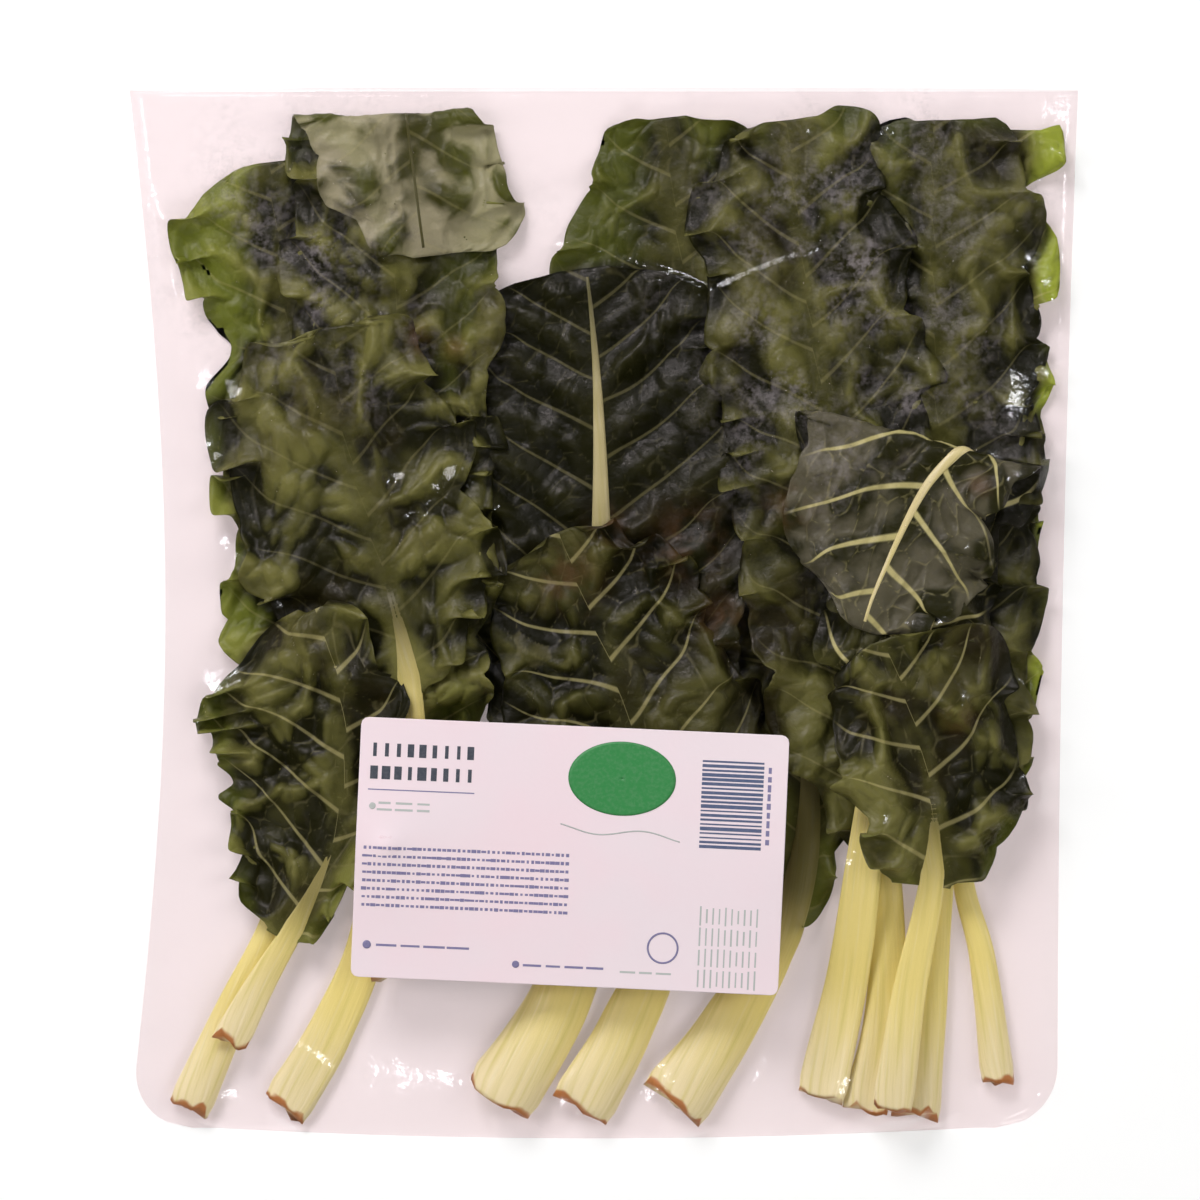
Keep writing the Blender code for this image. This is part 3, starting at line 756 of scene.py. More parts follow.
    def roll(self, x, y, h):
        """Rolls what lies past the crease up and back: the new place, and how far past the crease it was."""
        if not self.leaf.crease:
            return x, y, h, np.full(np.shape(x), -1.0)
        cx, cy, turn = self.leaf.crease
        nx, ny = math.cos(math.radians(turn)), math.sin(math.radians(turn))
        past = (x - cx * MM) * nx + (y - cy * MM) * ny
        angle = np.clip(past / FOLD_RADIUS, 0, math.pi)
        reach = FOLD_RADIUS - h
        placed = np.where(past > 0, reach * np.sin(angle) - np.maximum(past - FOLD_ROLL, 0), past)
        z = np.where(past > 0, FOLD_RADIUS - reach * np.cos(angle), h)
        return x + (placed - past) * nx, y + (placed - past) * ny, z, past

    def base_heights(self):
        """Where the frame's plain leaf lies, smoothed, on a coarse grid over the leaf's own coordinates."""
        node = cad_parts[self.leaf.node]
        tree = BVHTree.FromObject(node, bpy.context.evaluated_depsgraph_get())
        s = np.arange(-8 * MM, self.length + 10 * MM, self.COARSE)
        v = np.arange(-self.widest, self.widest + self.COARSE, self.COARSE)
        grid_s, grid_v = np.meshgrid(s, v, indexing="ij")
        x, y, z, past = self.roll(*self.plan(grid_s, grid_v), 0 * grid_s)
        found = np.full(x.shape, np.nan)
        up, down = Vector((0, 0, 1)), Vector((0, 0, -1))
        for i, j in np.ndindex(*x.shape):
            if past[i, j] < 0:
                hit = tree.ray_cast(Vector((x[i, j], y[i, j], -0.1)), up)[0]
                if hit:
                    found[i, j] = hit.z + 1.0 * MM
            elif past[i, j] > FOLD_ROLL:
                hit = tree.ray_cast(Vector((x[i, j], y[i, j], 0.2)), down)[0]
                if hit:
                    found[i, j] = hit.z - 2 * FOLD_RADIUS - 1.0 * MM
        self.coarse_s, self.coarse_v = s, v
        return blur(fill_holes(found), 2)

    def sample(self, grid, s, v, grid_s, grid_v):
        """A grid's value at places between its points."""
        i, j = (s - grid_s[0]) / (grid_s[1] - grid_s[0]), (v - grid_v[0]) / (grid_v[1] - grid_v[0])
        return between_points(grid, i, j)

    def place(self, s, v, h, lifted=True):
        """Where a point of the leaf is: h is its height over the blade's middle surface before any folding."""
        relief, _, _ = self.relief(s, v)
        flat_s = s + self.drift(s, v)
        calm = 1.0
        if self.leaf.crease:
            _, _, _, past = self.roll(*self.plan(s, v), 0 * s)
            calm = 1 - 0.75 * ease(1 - np.abs(past - FOLD_ROLL / 2) / (14 * MM))
        x, y, z, past = self.roll(*self.plan(flat_s, v), h + calm * relief)
        x = keep_inside(x, y)
        z = z + self.sample(self.base, s, v, self.coarse_s, self.coarse_v)
        if lifted:
            z = np.maximum(z + self.sample(self.lift, s, v, self.s, self.v), LOWEST)
        return np.stack([x, y, z], -1), past

    def settle(self, pile):
        """Raises the leaf where it would cut into the pile, then adds it to the pile."""
        grid_s, grid_v = np.meshgrid(self.s, self.v, indexing="ij")
        rib = self.rib_half(grid_s)
        w = np.where(grid_s < self.bare, rib, np.maximum(self.width_at(grid_s, grid_v), rib))
        inside = (np.abs(grid_v) <= w + 0.5 * self.STEP) & (grid_s > -0.5 * MM) & (grid_s < self.length)
        points, past = self.place(grid_s, grid_v, 0 * grid_s, lifted=False)
        in_rib = np.clip(1 - (grid_v / np.maximum(rib, 1e-5)) ** 2, 0, 1) ** 0.5
        high, low = (STEM_ROUND, STEM_HOLLOW) if self.leaf.rib_up else (STEM_HOLLOW, STEM_ROUND)
        below = LEAF_SKIN + low * rib * in_rib
        above = LEAF_SKIN + high * rib * in_rib
        for part in (past < FOLD_ROLL / 2, past >= FOLD_ROLL / 2):
            part = part & inside
            if not part.any():
                continue
            x, y, z = points[part].T
            under, over = (above, below) if (past[part] > 0).any() else (below, above)
            need = np.zeros_like(grid_s)
            need[part] = np.maximum(pile.height(x, y) + LEAF_GAP - z + under[part], 0)
            spread = need.copy()
            for _ in range(4):
                spread = np.maximum(blur(spread, 1), need)
            self.lift = np.where(part | ~inside, np.maximum(self.lift, spread), self.lift)
            pile.add(x, y, z + self.lift[part] + over[part])
        shown = inside & (grid_s > self.bare * 0.9)
        pile.cover(points[shown][:, 0], points[shown][:, 1])
        self.lift = blur(self.lift, 4)


def fill_holes(grid):
    """Fills a grid's missing values from their neighbours, from the nearest outwards, then smooths them."""
    known = ~np.isnan(grid)
    filled = np.where(known, grid, 0.0)
    weight = known.astype(float)
    while (weight == 0).any():
        pads = [np.pad(a, 1) for a in (filled * weight, weight)]
        around = [p[:-2, 1:-1] + p[2:, 1:-1] + p[1:-1, :-2] + p[1:-1, 2:] for p in pads]
        fresh = (weight == 0) & (around[1] > 0)
        filled[fresh] = around[0][fresh] / around[1][fresh]
        weight[fresh] = 1.0
    for _ in range(30):
        filled = np.where(known, filled, blur(filled, 1))
    return filled


def blade_sheet(shape, pile):
    """The blade of one leaf: points, faces and attributes of a closed thin sheet."""
    rows = int((shape.length - shape.bare) / (1.0 * MM))
    half = int(shape.widest / (1.15 * MM))
    s = np.linspace(shape.bare - 2 * MM, shape.length, rows)
    q = np.linspace(-1, 1, 2 * half + 1)
    grid_s, grid_q = np.meshgrid(s, q, indexing="ij")
    grid_v = grid_q * shape.width_at(grid_s, grid_q)
    upper, _ = shape.place(grid_s, grid_v, np.full_like(grid_s, HALF_BLADE))
    lower, _ = shape.place(grid_s, grid_v, np.full_like(grid_s, -HALF_BLADE))
    _, edge, crest = shape.relief(grid_s, grid_v)
    # Painted backlight: where only one layer of leaf lies, the blade is marked for the painted backlit green.
    layers = pile.covered(upper[..., 0], upper[..., 1])
    thin = np.where(layers < 1.5, 1.0, 0.0)
    thin = blur(thin, 3) * ease((np.abs(grid_q) - 0.15) / 0.5)
    clouds = layered_noise(grid_s / (28 * MM), grid_v / (22 * MM), shape.leaf.seed + 30)
    width = (0.04 + 0.035 * shape.leaf.veins) * (1 - 0.8 * np.clip(np.abs(grid_q), 0, 1)) + 0.012
    fade = ease((1.02 - np.abs(grid_q)) / 0.3)
    bruise = np.zeros_like(grid_s)
    for cx, cy, radius in BRUISES:
        off = np.hypot(upper[..., 0] - cx * MM, upper[..., 1] - cy * MM) / (radius * MM)
        bruise = np.maximum(bruise, np.exp(-(off**2)))
    both = {
        "crest": crest,
        "cell_edge": edge,
        "vein_phase": shape.vein_phase(grid_s, grid_v),
        "vein_width": width,
        "vein_pale": shape.leaf.veins * fade,
        "thin": shape.leaf.edge * thin,
        "dark": np.full_like(grid_s, shape.leaf.dark),
        "tone": np.clip(shape.leaf.tone + 0.35 * clouds, 0, 1),
        "bruise": bruise,
    }
    attributes = {key: np.tile(value.ravel(), 2) for key, value in both.items()}
    count = grid_s.size
    attributes["underside"] = np.concatenate([np.zeros(count), np.ones(count)])
    points = np.concatenate([upper.reshape(-1, 3), lower.reshape(-1, 3)])
    uv = np.tile(np.stack([grid_s.ravel(), grid_v.ravel()], 1), (2, 1))
    return points, sheet_faces(rows, 2 * half + 1), attributes, uv


def rib_tube(shape, start):
    """The stem and midrib of one leaf: a solid tube, half round on the leaf's underside."""
    leaf = shape.leaf
    sides = 18
    s = np.concatenate([np.arange(0, shape.length - 3 * MM, 1.6 * MM), [shape.length - 3 * MM]])
    angle = np.linspace(0, 2 * math.pi, sides, endpoint=False)
    grid_s, grid_a = np.meshgrid(s, angle, indexing="ij")
    half = shape.rib_half(grid_s)
    up = 1 if leaf.rib_up else -1
    fibre = 1 + 0.05 * noise(grid_a * 3, grid_s / (60 * MM), leaf.seed)
    fibre = fibre + 0.04 * noise(grid_s / (20 * MM), grid_a, leaf.seed)
    grid_v = half * np.cos(grid_a) * fibre
    bulge = np.sin(grid_a)
    depth = np.where(bulge * up > 0, STEM_ROUND, STEM_HOLLOW) * half
    groove = np.where(bulge * up < 0, 0.5 * np.abs(np.cos(grid_a)) + 0.5, 1.0)
    h = bulge * (depth * groove * fibre + 0.1 * MM)
    flare = 1 - 0.1 * ease((6 * MM - grid_s) / (6 * MM))
    torn = 2.2 * MM * layered_noise(np.cos(grid_a) * 1.8, np.sin(grid_a) * 1.2, leaf.seed + 4)
    points, _ = shape.place(grid_s + torn * (1 - ease(grid_s / (14 * MM))), grid_v * flare, h)
    rings = len(s)
    caps_start = start + rings * sides
    middle = [points[0].mean(axis=0), points[-1].mean(axis=0)]
    points = np.concatenate([points.reshape(-1, 3), middle])
    ring = np.arange(sides)
    after = (ring + 1) % sides
    first = np.stack([start + after, start + ring, np.full(sides, caps_start)], 1)
    last_row = start + (rings - 1) * sides
    last = np.stack([last_row + ring, last_row + after, np.full(sides, caps_start + 1)], 1)
    wavy = 1.6 * MM * layered_noise(grid_a * 1.5, 0 * grid_a, leaf.seed + 4)
    cut = np.clip(1 - (grid_s + 0.6 * wavy) / (2.6 * MM), 0, 1).ravel()
    shade = (1 - leaf.rib) * ease((grid_s - shape.bare * 0.8) / (shape.bare * 0.6)).ravel()
    along = shape.along_blade(grid_s).ravel()
    # Near its tip the rib fades into the blade's green; in a leaf that lies in shade the rib in the blade is greened
    # too, as painted shade.
    fade = np.maximum(0.9 * ease((along - 0.55) / 0.45), leaf.dark * 0.4 * ease(along / 0.1))
    fade = fade * (0 if leaf.crease else 1)
    attributes = {
        "along": np.concatenate([grid_s.ravel(), [0, shape.length]]),
        "cut": np.concatenate([cut, [0.55, 0]]),
        "rib_green_and_painted_shade": np.concatenate([np.maximum(shade, fade), [0, 1]]),
    }
    uv = np.concatenate([np.stack([grid_s.ravel(), (grid_a * half).ravel()], 1), [[0, 0], [shape.length, 0]]])
    return points, [tube_faces(rings, sides, start), first, last], attributes, uv


def leaf_object(shape, pile, materials):
    """One leaf's blade and rib as one object."""
    blade, blade_faces, blade_values, blade_uv = blade_sheet(shape, pile)
    rib, rib_faces, rib_values, rib_uv = rib_tube(shape, len(blade))
    attributes = {}
    for key in {**blade_values, **rib_values}:
        ours = blade_values.get(key, np.zeros(len(blade)))
        theirs = rib_values.get(key, np.zeros(len(rib)))
        attributes[key] = np.concatenate([ours, theirs])
    faces = [blade_faces, *rib_faces]
    count = sum(len(f) for f in faces)
    material_of = np.where(np.arange(count) < len(blade_faces), 0, 1)
    obj = make_mesh(
        shape.leaf.node + "_grown",
        np.concatenate([blade, rib]),
        faces,
        materials,
        material_of,
        attributes,
        np.concatenate([blade_uv, rib_uv]),
    )
    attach(obj, BODY)
    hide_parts(shape.leaf.node)
    return obj


# ---------------------------------------------------------------- the bag

# Creases that stand up from the front sheet: from x, y to x, y, height and half width, in mm.
FRONT_CREASES = (
    (-17, 123, 12, 116, 2.2, 1.5),
    (12, 116, 36, 107, 2.6, 1.6),
    (36, 107, 72, 121, 2.4, 1.4),
    (-71, 45, -52, 38, 2.8, 3.0),
    (-60, 30, -48, 48, 3.4, 4.0),
    (-52, 46, -36, 33, 3.2, 3.4),
    (-66, 33, -44, 27, 2.2, 3.0),
    (-150, 52, -82, 46, 1.0, 2.2),
    (-60, 95, -20, 84, 1.2, 1.6),
    (-82, 150, -74, 132, 1.4, 1.6),
    (-92, 152, -86, 140, 1.2, 1.4),
    (66, 162, 84, 146, 2.0, 1.6),
    (84, 146, 96, 163, 1.8, 1.6),
    (58, 140, 74, 128, 1.2, 1.4),
    (16, 58, 60, 52, 1.0, 1.4),
    (86, 100, 94, 78, 1.2, 1.6),
    (-134, -30, -112, -18, 0.9, 1.6),
    (-150, -120, -88, -150, 0.9, 1.6),
    (-140, -98, -120, -150, 0.8, 1.8),
    (-52, -118, -30, -168, 0.8, 1.6),
    (10, -128, 30, -170, 0.8, 1.6),
    (64, -128, 46, -168, 0.8, 1.6),
    (120, -128, 148, -160, 0.9, 1.8),
    (138, -92, 150, -130, 0.8, 2.0),
    (-156, 160, -140, 60, 0.8, 2.4),
    (152, 120, 146, 20, 0.7, 2.0),
)


def bag_edges(y):
    """The bag's left and right edges at each height up the bag."""
    rise = np.clip(y + BAG_LENGTH / 2, 0, BAG_LENGTH)
    t = rise / BAG_LENGTH
    round_off = CORNER_RADIUS - np.sqrt(CORNER_RADIUS**2 - np.maximum(CORNER_RADIUS - rise, 0) ** 2)
    left = -BAG_WIDTH / 2 + WAIST_LEFT * np.sin(math.pi * t) + round_off
    return left, BAG_WIDTH / 2 - WAIST_RIGHT * (1 - t**2) - round_off


def bag_grid(columns, rows):
    """The plan of one sheet of the bag, as a grid from the bottom seal up to the mouth."""
    u = np.linspace(-1, 1, columns)
    t = np.linspace(0, 1, rows)
    y = t[:, None] * BAG_LENGTH - BAG_LENGTH / 2 + 0 * u
    left, right = bag_edges(y)
    x = (left + right) / 2 + (right - left) / 2 * u
    return x, y + BOTTOM_BOW * (1 - t)[:, None] * u**2, np.minimum(x - left, right - x)


def seam_curl(edge):
    """How far the film rises towards its side seams."""
    return SEAM_RISE * np.clip(1 - edge / SEAM_BAND, 0, 1) ** 2


def crease_relief(x, y, creases):
    """The height of a set of sharp creases."""
    relief = np.zeros_like(x)
    for x0, y0, x1, y1, height, width in creases:
        run = np.array([x1 - x0, y1 - y0]) * MM
        length = np.hypot(*run)
        along = ((x - x0 * MM) * run[0] + (y - y0 * MM) * run[1]) / length**2
        bow = 0.03 * length * np.sin(math.pi * np.clip(along, 0, 1))
        off = ((x - x0 * MM) * run[1] - (y - y0 * MM) * run[0]) / length + bow
        ends = ease(np.clip(along + 0.15, 0, 1) / 0.3) * ease((1.15 - along) / 0.3)
        relief = np.maximum(relief, height * MM * np.exp(-np.abs(off) / (width * MM)) * ends)
    return relief


def chance_creases(seed, count, height):
    """Faint creases all over a sheet."""
    draw = np.random.default_rng(seed)
    found = []
    for _ in range(count):
        x, y = draw.uniform(-150, 150), draw.uniform(-170, 170)
        turn, length = draw.uniform(0, math.pi), draw.uniform(14, 60)
        over, up = length * math.cos(turn), length * math.sin(turn)
        found.append((x, y, x + over, y + up, height * draw.uniform(0.4, 1), 1.6))
    return found


def frame_heights(node, x, y):
    """The height of a node's upper side, NaN off it."""
    tree = BVHTree.FromObject(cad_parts[node], bpy.context.evaluated_depsgraph_get())
    found = np.full(x.shape, np.nan)
    for at in np.ndindex(*x.shape):
        hit = tree.ray_cast(Vector((x[at], y[at], 0.2)), Vector((0, 0, -1)))[0]
        if hit:
            found[at] = hit.z
    return found


def drape(heights, floor, fixed, times):
    """A tight sheet over bumps: each point goes to its neighbours' mean height, but not below the floor."""
    for _ in range(times):
        pad = np.pad(heights, 1, mode="edge")
        mean = (pad[:-2, 1:-1] + pad[2:, 1:-1] + pad[1:-1, :-2] + pad[1:-1, 2:]) / 4
        heights = np.where(fixed, heights, np.maximum(mean, floor))
    return heights


def mist_amount(x, y):
    """How fogged the film is."""
    patch = np.exp(-(((x - 88 * MM) / (50 * MM)) ** 2) - ((y - 104 * MM) / (62 * MM)) ** 2)
    left = 0.7 * np.exp(-(((x + 96 * MM) / (44 * MM)) ** 2) - ((y - 118 * MM) / (46 * MM)) ** 2)
    streak = 0.55 + 0.45 * layered_noise(x / (16 * MM), y / (34 * MM), 71)
    return np.clip((patch + left) * streak, 0, 1)


def film_object(name, x, y, z, mist, node):
    """One sheet of film, from the grid of its lower side."""
    scene = bpy.context.scene
    scene.chard_film = scene.chard_film or film_material(scene.chard_bag)
    points = np.stack([x, y, z], -1).reshape(-1, 3)
    both = np.concatenate([points + [0, 0, scene.chard_bag.thickness], points])
    values = {"mist": np.tile(mist.ravel(), 2)}
    rim = 2 * sum(x.shape) - 4
    obj = make_mesh(name, both, [sheet_faces(*x.shape)], [scene.chard_film], attributes=values, flat=rim)
    obj.visible_shadow = False
    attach(obj, BODY)
    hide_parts(node)
    return obj


PILE = Pile()
FRONT = {}  # the front sheet's upper height on its grid, once it is laid


def front_height(x, y):
    """The front sheet's upper height at places on it."""
    z = FRONT["z"]
    left, right = bag_edges(y)
    row = np.clip((y + BAG_LENGTH / 2) / BAG_LENGTH, 0, 1) * (z.shape[0] - 1.001)
    column = np.clip((x - left) / (right - left), 0, 1) * (z.shape[1] - 1.001)
    return between_points(z, row, column)


# ---------------------------------------------------------------- the label

LABEL_WIDTH = 143 * MM
LABEL_HEIGHT = 87 * MM
LABEL_MIDDLE = (-11.5 * MM, -80.5 * MM)
LABEL_TURN = math.radians(-2.5)
LABEL_CORNER = 2.5 * MM
LABEL = {}  # the label's upper height on its grid, once it is laid


def from_label(u, v):
    """A place on the label, in the plan."""
    c, s = math.cos(LABEL_TURN), math.sin(LABEL_TURN)
    return LABEL_MIDDLE[0] + u * c - v * s, LABEL_MIDDLE[1] + u * s + v * c


def label_height(u, v):
    """The label's upper height at places on it, in its own plan."""
    z = LABEL["z"]
    return between_points(z, (v / LABEL_HEIGHT + 0.5) * (z.shape[0] - 1), (u / LABEL_WIDTH + 0.5) * (z.shape[1] - 1))


def lay_on_label(obj, shift=(0, 0)):
    """Moves a flat mesh, drawn in the label's own plan, onto the label."""
    co = np.zeros(len(obj.data.vertices) * 3, np.float32)
    obj.data.vertices.foreach_get("co", co)
    co = co.reshape(-1, 3).astype(float)
    u, v = co[:, 0] + shift[0] * MM, co[:, 1] + shift[1] * MM
    x, y = from_label(u, v)
    z = label_height(u, v) + 0.02 * MM + co[:, 2]
    obj.data.vertices.foreach_set("co", np.stack([x, y, z], 1).astype(np.float32).ravel())
    obj.data.update()


INK = 0.06 * MM


def printed(name, flat, faces, ink, shift):
    """A thin layer of ink on the label. The faces number its upper points, then its lower ones."""
    upper = np.concatenate([flat, np.full((len(flat), 1), INK)], 1)
    lower = np.concatenate([flat, np.zeros((len(flat), 1))], 1)
    obj = make_mesh(name, np.concatenate([upper, lower]), faces, [ink])
    lay_on_label(obj, shift)
    return obj


def patch(outline, rings, name, ink, shift, hole=0.0005):
    """A flat inked shape: rings of points from its outline in mm to its hole, which is a share of its size."""
    flat = np.concatenate([outline * MM * k for k in np.linspace(1, hole, rings)])
    n = len(outline)
    ring = np.arange(n)
    after = (ring + 1) % n
    under, last = rings * n, (rings - 1) * n
    faces = [
        tube_faces(rings, n),
        tube_faces(rings, n, under)[:, ::-1],
        np.stack([after, ring, ring + under, after + under], 1),
        last + np.stack([ring, after, after + under, ring + under], 1),
    ]
    return printed(name, flat, faces, ink, shift)


def stroke(line, width, name, ink, shift):
    """A thin inked line along the points given, in mm."""
    flat = np.stack([line - (0, width / 2), line + (0, width / 2)], 1).reshape(-1, 2) * MM
    return printed(name, flat, [sheet_faces(len(line), 2)[:, ::-1]], ink, shift)


def bars_group():
    """Rows and columns of flat bars: a barcode, or the words of a block of small print."""
    lengths = ("Column Pitch", "Row Pitch", "Shortest", "Longest", "Thinnest", "Thickest", "Ink")
    g = Growth("printed_bars", {"Int": ("Columns", "Rows", "Seed"), "Float": lengths, "Material": ("Material",)})
    given = g.given
    inputs = {"Vertices X": given["Columns"], "Vertices Y": given["Rows"]}
    for size, count, pitch in (("Size X", "Columns", "Column Pitch"), ("Size Y", "Rows", "Row Pitch")):
        inputs[size] = g.math("MULTIPLY", g.math("SUBTRACT", given[count], 1.0), given[pitch])
    grid = g.node("GeometryNodeMeshGrid", inputs)["Mesh"]
    bar = g.node("GeometryNodeMeshCube", {"Size": (1, 1, 1), "Vertices X": 6})["Mesh"]
    length = g.chance(given["Shortest"], given["Longest"], g.math("ADD", given["Seed"], 1))
    thickness = g.chance(given["Thinnest"], given["Thickest"], g.math("ADD", given["Seed"], 2))
    return g.finish(grid, bar, (length, thickness, given["Ink"]))


def beads_group():
    """Water beads scattered over a surface, more of them where it is more fogged."""
    g = Growth("beads", {"Float": ("Density", "Smallest", "Largest"), "Int": ("Seed",), "Material": ("Material",)})
    given = g.given
    fog = g.node("GeometryNodeInputNamedAttribute", {"Name": "mist"}, data_type="FLOAT")["Attribute"]
    density = g.math("MULTIPLY", fog, given["Density"])
    inputs = {"Mesh": given["Geometry"], "Density": density, "Seed": given["Seed"]}
    points = g.node("GeometryNodeDistributePointsOnFaces", inputs, distribute_method="RANDOM")["Points"]
    drop = g.node("GeometryNodeMeshIcoSphere", {"Radius": 1.0, "Subdivisions": 2})["Mesh"]
    size = g.chance(given["Smallest"], given["Largest"], given["Seed"])
    return g.finish(points, drop, (size, size, g.math("MULTIPLY", size, 0.5)))


def grown(name, base, tree, values):
    """The plain mesh that a node tree makes on a base mesh."""
    carrier = bpy.data.objects.new(name + "_base", base)
    bpy.context.scene.collection.objects.link(carrier)
    modifier = carrier.modifiers.new("grow", "NODES")
    modifier.node_group = tree
    named = {item.name: item.identifier for item in tree.interface.items_tree if item.in_out == "INPUT"}
    for key, value in values.items():
        modifier[named[key]] = value
    bpy.context.view_layer.update()
    made = carrier.evaluated_get(bpy.context.evaluated_depsgraph_get())
    mesh = bpy.data.meshes.new_from_object(made)
    mesh.name = name
    bpy.data.objects.remove(carrier)
    obj = bpy.data.objects.new(name, mesh)
    bpy.context.scene.collection.objects.link(obj)
    return obj


def ink_material(name, colour):
    """Print that is a little worn."""
    t = Look(name)
    worn = t.noise(t.coordinates(), 900, 3)
    return t.solid(t.mix(t.ramp(worn, 0.35, 0.8, 0, 0.06), colour, (0.75, 0.68, 0.72)), 0.5)


def paper_material(settings):
    """The label's paper, unevenly tinted."""
    t = Look("label_paper")
    fibre = t.noise(t.coordinates(), 700, 4)
    cloud = t.noise(t.coordinates(), 25, 2)
    shade = t.mix(t.ramp(cloud, 0.3, 0.7, 0, 0.35), settings.paper, (0.86, 0.83, 0.86))
    return t.solid(shade, t.ramp(fibre, 0.3, 0.7, 0.42, 0.55), {"Normal": t.bump(fibre, 0.2, 0.2 * MM)})


def bead_material():
    """Water, which at this size only shows by its glints."""
    t = Look("water_beads")
    bump = t.bump(t.noise(t.coordinates(), 900, 2), 0.2, 0.3 * MM)
    return t.finish(t.clear((1, 1, 1), 0.08, bump, 3.0, 0.7, 0.05))


# ---------------------------------------------------------------- settings


def colour_property(name, description, default):
    return FloatVectorProperty(
        name=name, description=description, default=default, size=3, subtype="COLOR", min=0, max=1
    )


def amount_property(name, description, default, unit="NONE"):
    return FloatProperty(name=name, description=description, default=default, unit=unit, min=0)


def length_property(name, description, default):
    return amount_property(name, description, default, "LENGTH")


def power_property(name, description, default):
    return amount_property(name, description, default, "POWER")


class ChardLeafSettings(bpy.types.PropertyGroup):
    """The leaves' sizes and colours."""

    pucker: length_property("Pucker", "Height of the puckers between the small veins", 1.6 * MM)
    pleat: length_property("Pleat", "Height of the swelling between two side veins", 1.6 * MM)
    fold: length_property("Fold", "Height of the broad folds", 2.6 * MM)
    crumple: length_property("Crumple", "Height of the sharp folds", 5.0 * MM)
    ruffle: length_property("Ruffle", "Height of the waves along the margin", 3.2 * MM)
    # Painted shade: the colour that stands for shade in the blade's hollows and over leaves that lie in shade.
    leaf_painted_shade: colour_property("Dark green", "The blade in its hollows", (0.006, 0.0065, 0.001))
    leaf_mid: colour_property("Green", "Most of the blade", (0.044, 0.045, 0.008))
    # The blade's paler tone and flecks, and the painted highlight on its puckers.
    leaf_pale_and_painted_highlight: colour_property("Light green", "The blade on its puckers", (0.175, 0.175, 0.048))
    # Painted backlight: bright green painted where a single layer of blade has light behind it.
    leaf_painted_backlight: colour_property("Edge green", "A single layer of blade with light behind it", (0.34, 0.42, 0.045))
    leaf_underside: colour_property("Underside", "The back of the blade", (0.30, 0.285, 0.175))
    vein: colour_property("Veins", "The side veins", (0.50, 0.47, 0.20))
    stem_base: colour_property("Stem at the cut", "The stem's lower end", (0.92, 0.83, 0.50))
    stem_middle: colour_property("Stem", "The middle of the stem", (0.90, 0.79, 0.27))
    stem_top: colour_property("Stem at the blade", "The stem and midrib in the blade", (0.78, 0.70, 0.36))
    cut_end: colour_property("Cut end", "The browned cut", (0.50, 0.20, 0.06))


class ChardBagSettings(bpy.types.PropertyGroup):
    """The bag's sizes and colours."""

    thickness: length_property("Film thickness", "Thickness of each film sheet", 0.1 * MM)
    clearance: length_property("Clearance", "Air between the leaves and the film", 0.3 * MM)
    film: colour_property("Film", "What the film lets through, at each of its surfaces", (0.974, 0.943, 0.946))
    mist: colour_property("Mist", "The fog on the film", (0.36, 0.32, 0.33))
    beads: amount_property("Beads", "Water beads on each square metre of fogged film", 110000)
    bead_size: length_property("Bead size", "Radius of the largest water beads", 0.4 * MM)


class ChardLabelSettings(bpy.types.PropertyGroup):
    """The label's sizes and colours."""

    paper_thickness: length_property("Paper thickness", "Thickness of the label", 0.25 * MM)
    paper: colour_property("Paper", "The label's own colour", (0.94, 0.76, 0.81))
    oval: colour_property("Oval", "The plain oval on the label", (0.035, 0.25, 0.065))
    heading: colour_property("Heading", "The bars at the top of the label", (0.055, 0.065, 0.085))
    small_print: colour_property("Small print", "The rules on the label", (0.22, 0.20, 0.36))
    barcode: colour_property("Barcode", "The stacked bars", (0.09, 0.12, 0.22))
    faint_print: colour_property("Faint print", "The faintest rules", (0.50, 0.52, 0.50))


class ChardStageSettings(bpy.types.PropertyGroup):
    """The floor, the light and the camera."""

    floor: colour_property("Floor", "The floor's colour", (0.80, 0.80, 0.80))
    glow: amount_property("Floor glow", "Light that the floor gives off", 0.28)
    key: power_property("Key light", "Power of the light beyond the bag's mouth", 17.0)
    side: power_property("Side light", "Power of the lights at the sides", 10.0)
    near: power_property("Near light", "Power of the light below the bag", 6.8)
    glint: power_property("Glints", "Power of the lamps that only gloss shows", 1.8)
    sky: amount_property("Sky", "Strength of the even light all round", 0.3)
    camera_height: length_property("Camera height", "Height of the camera over the floor", 1.6)
    view_width: length_property("View width", "Width of floor that the camera sees", 0.4044)


# ---------------------------------------------------------------- operators


def area_lamp(name, place, size, power, tint):
    """A lamp that faces the middle of the floor."""
    lamp = bpy.data.lights.new(name, "AREA")
    lamp.shape, lamp.size, lamp.size_y = "RECTANGLE", *size
    lamp.energy, lamp.color = power, tint
    obj = bpy.data.objects.new(name, lamp)
    obj.location = place
    obj.rotation_euler = (-Vector(place)).to_track_quat("-Z", "Y").to_euler()
    bpy.context.scene.collection.objects.link(obj)
    return obj


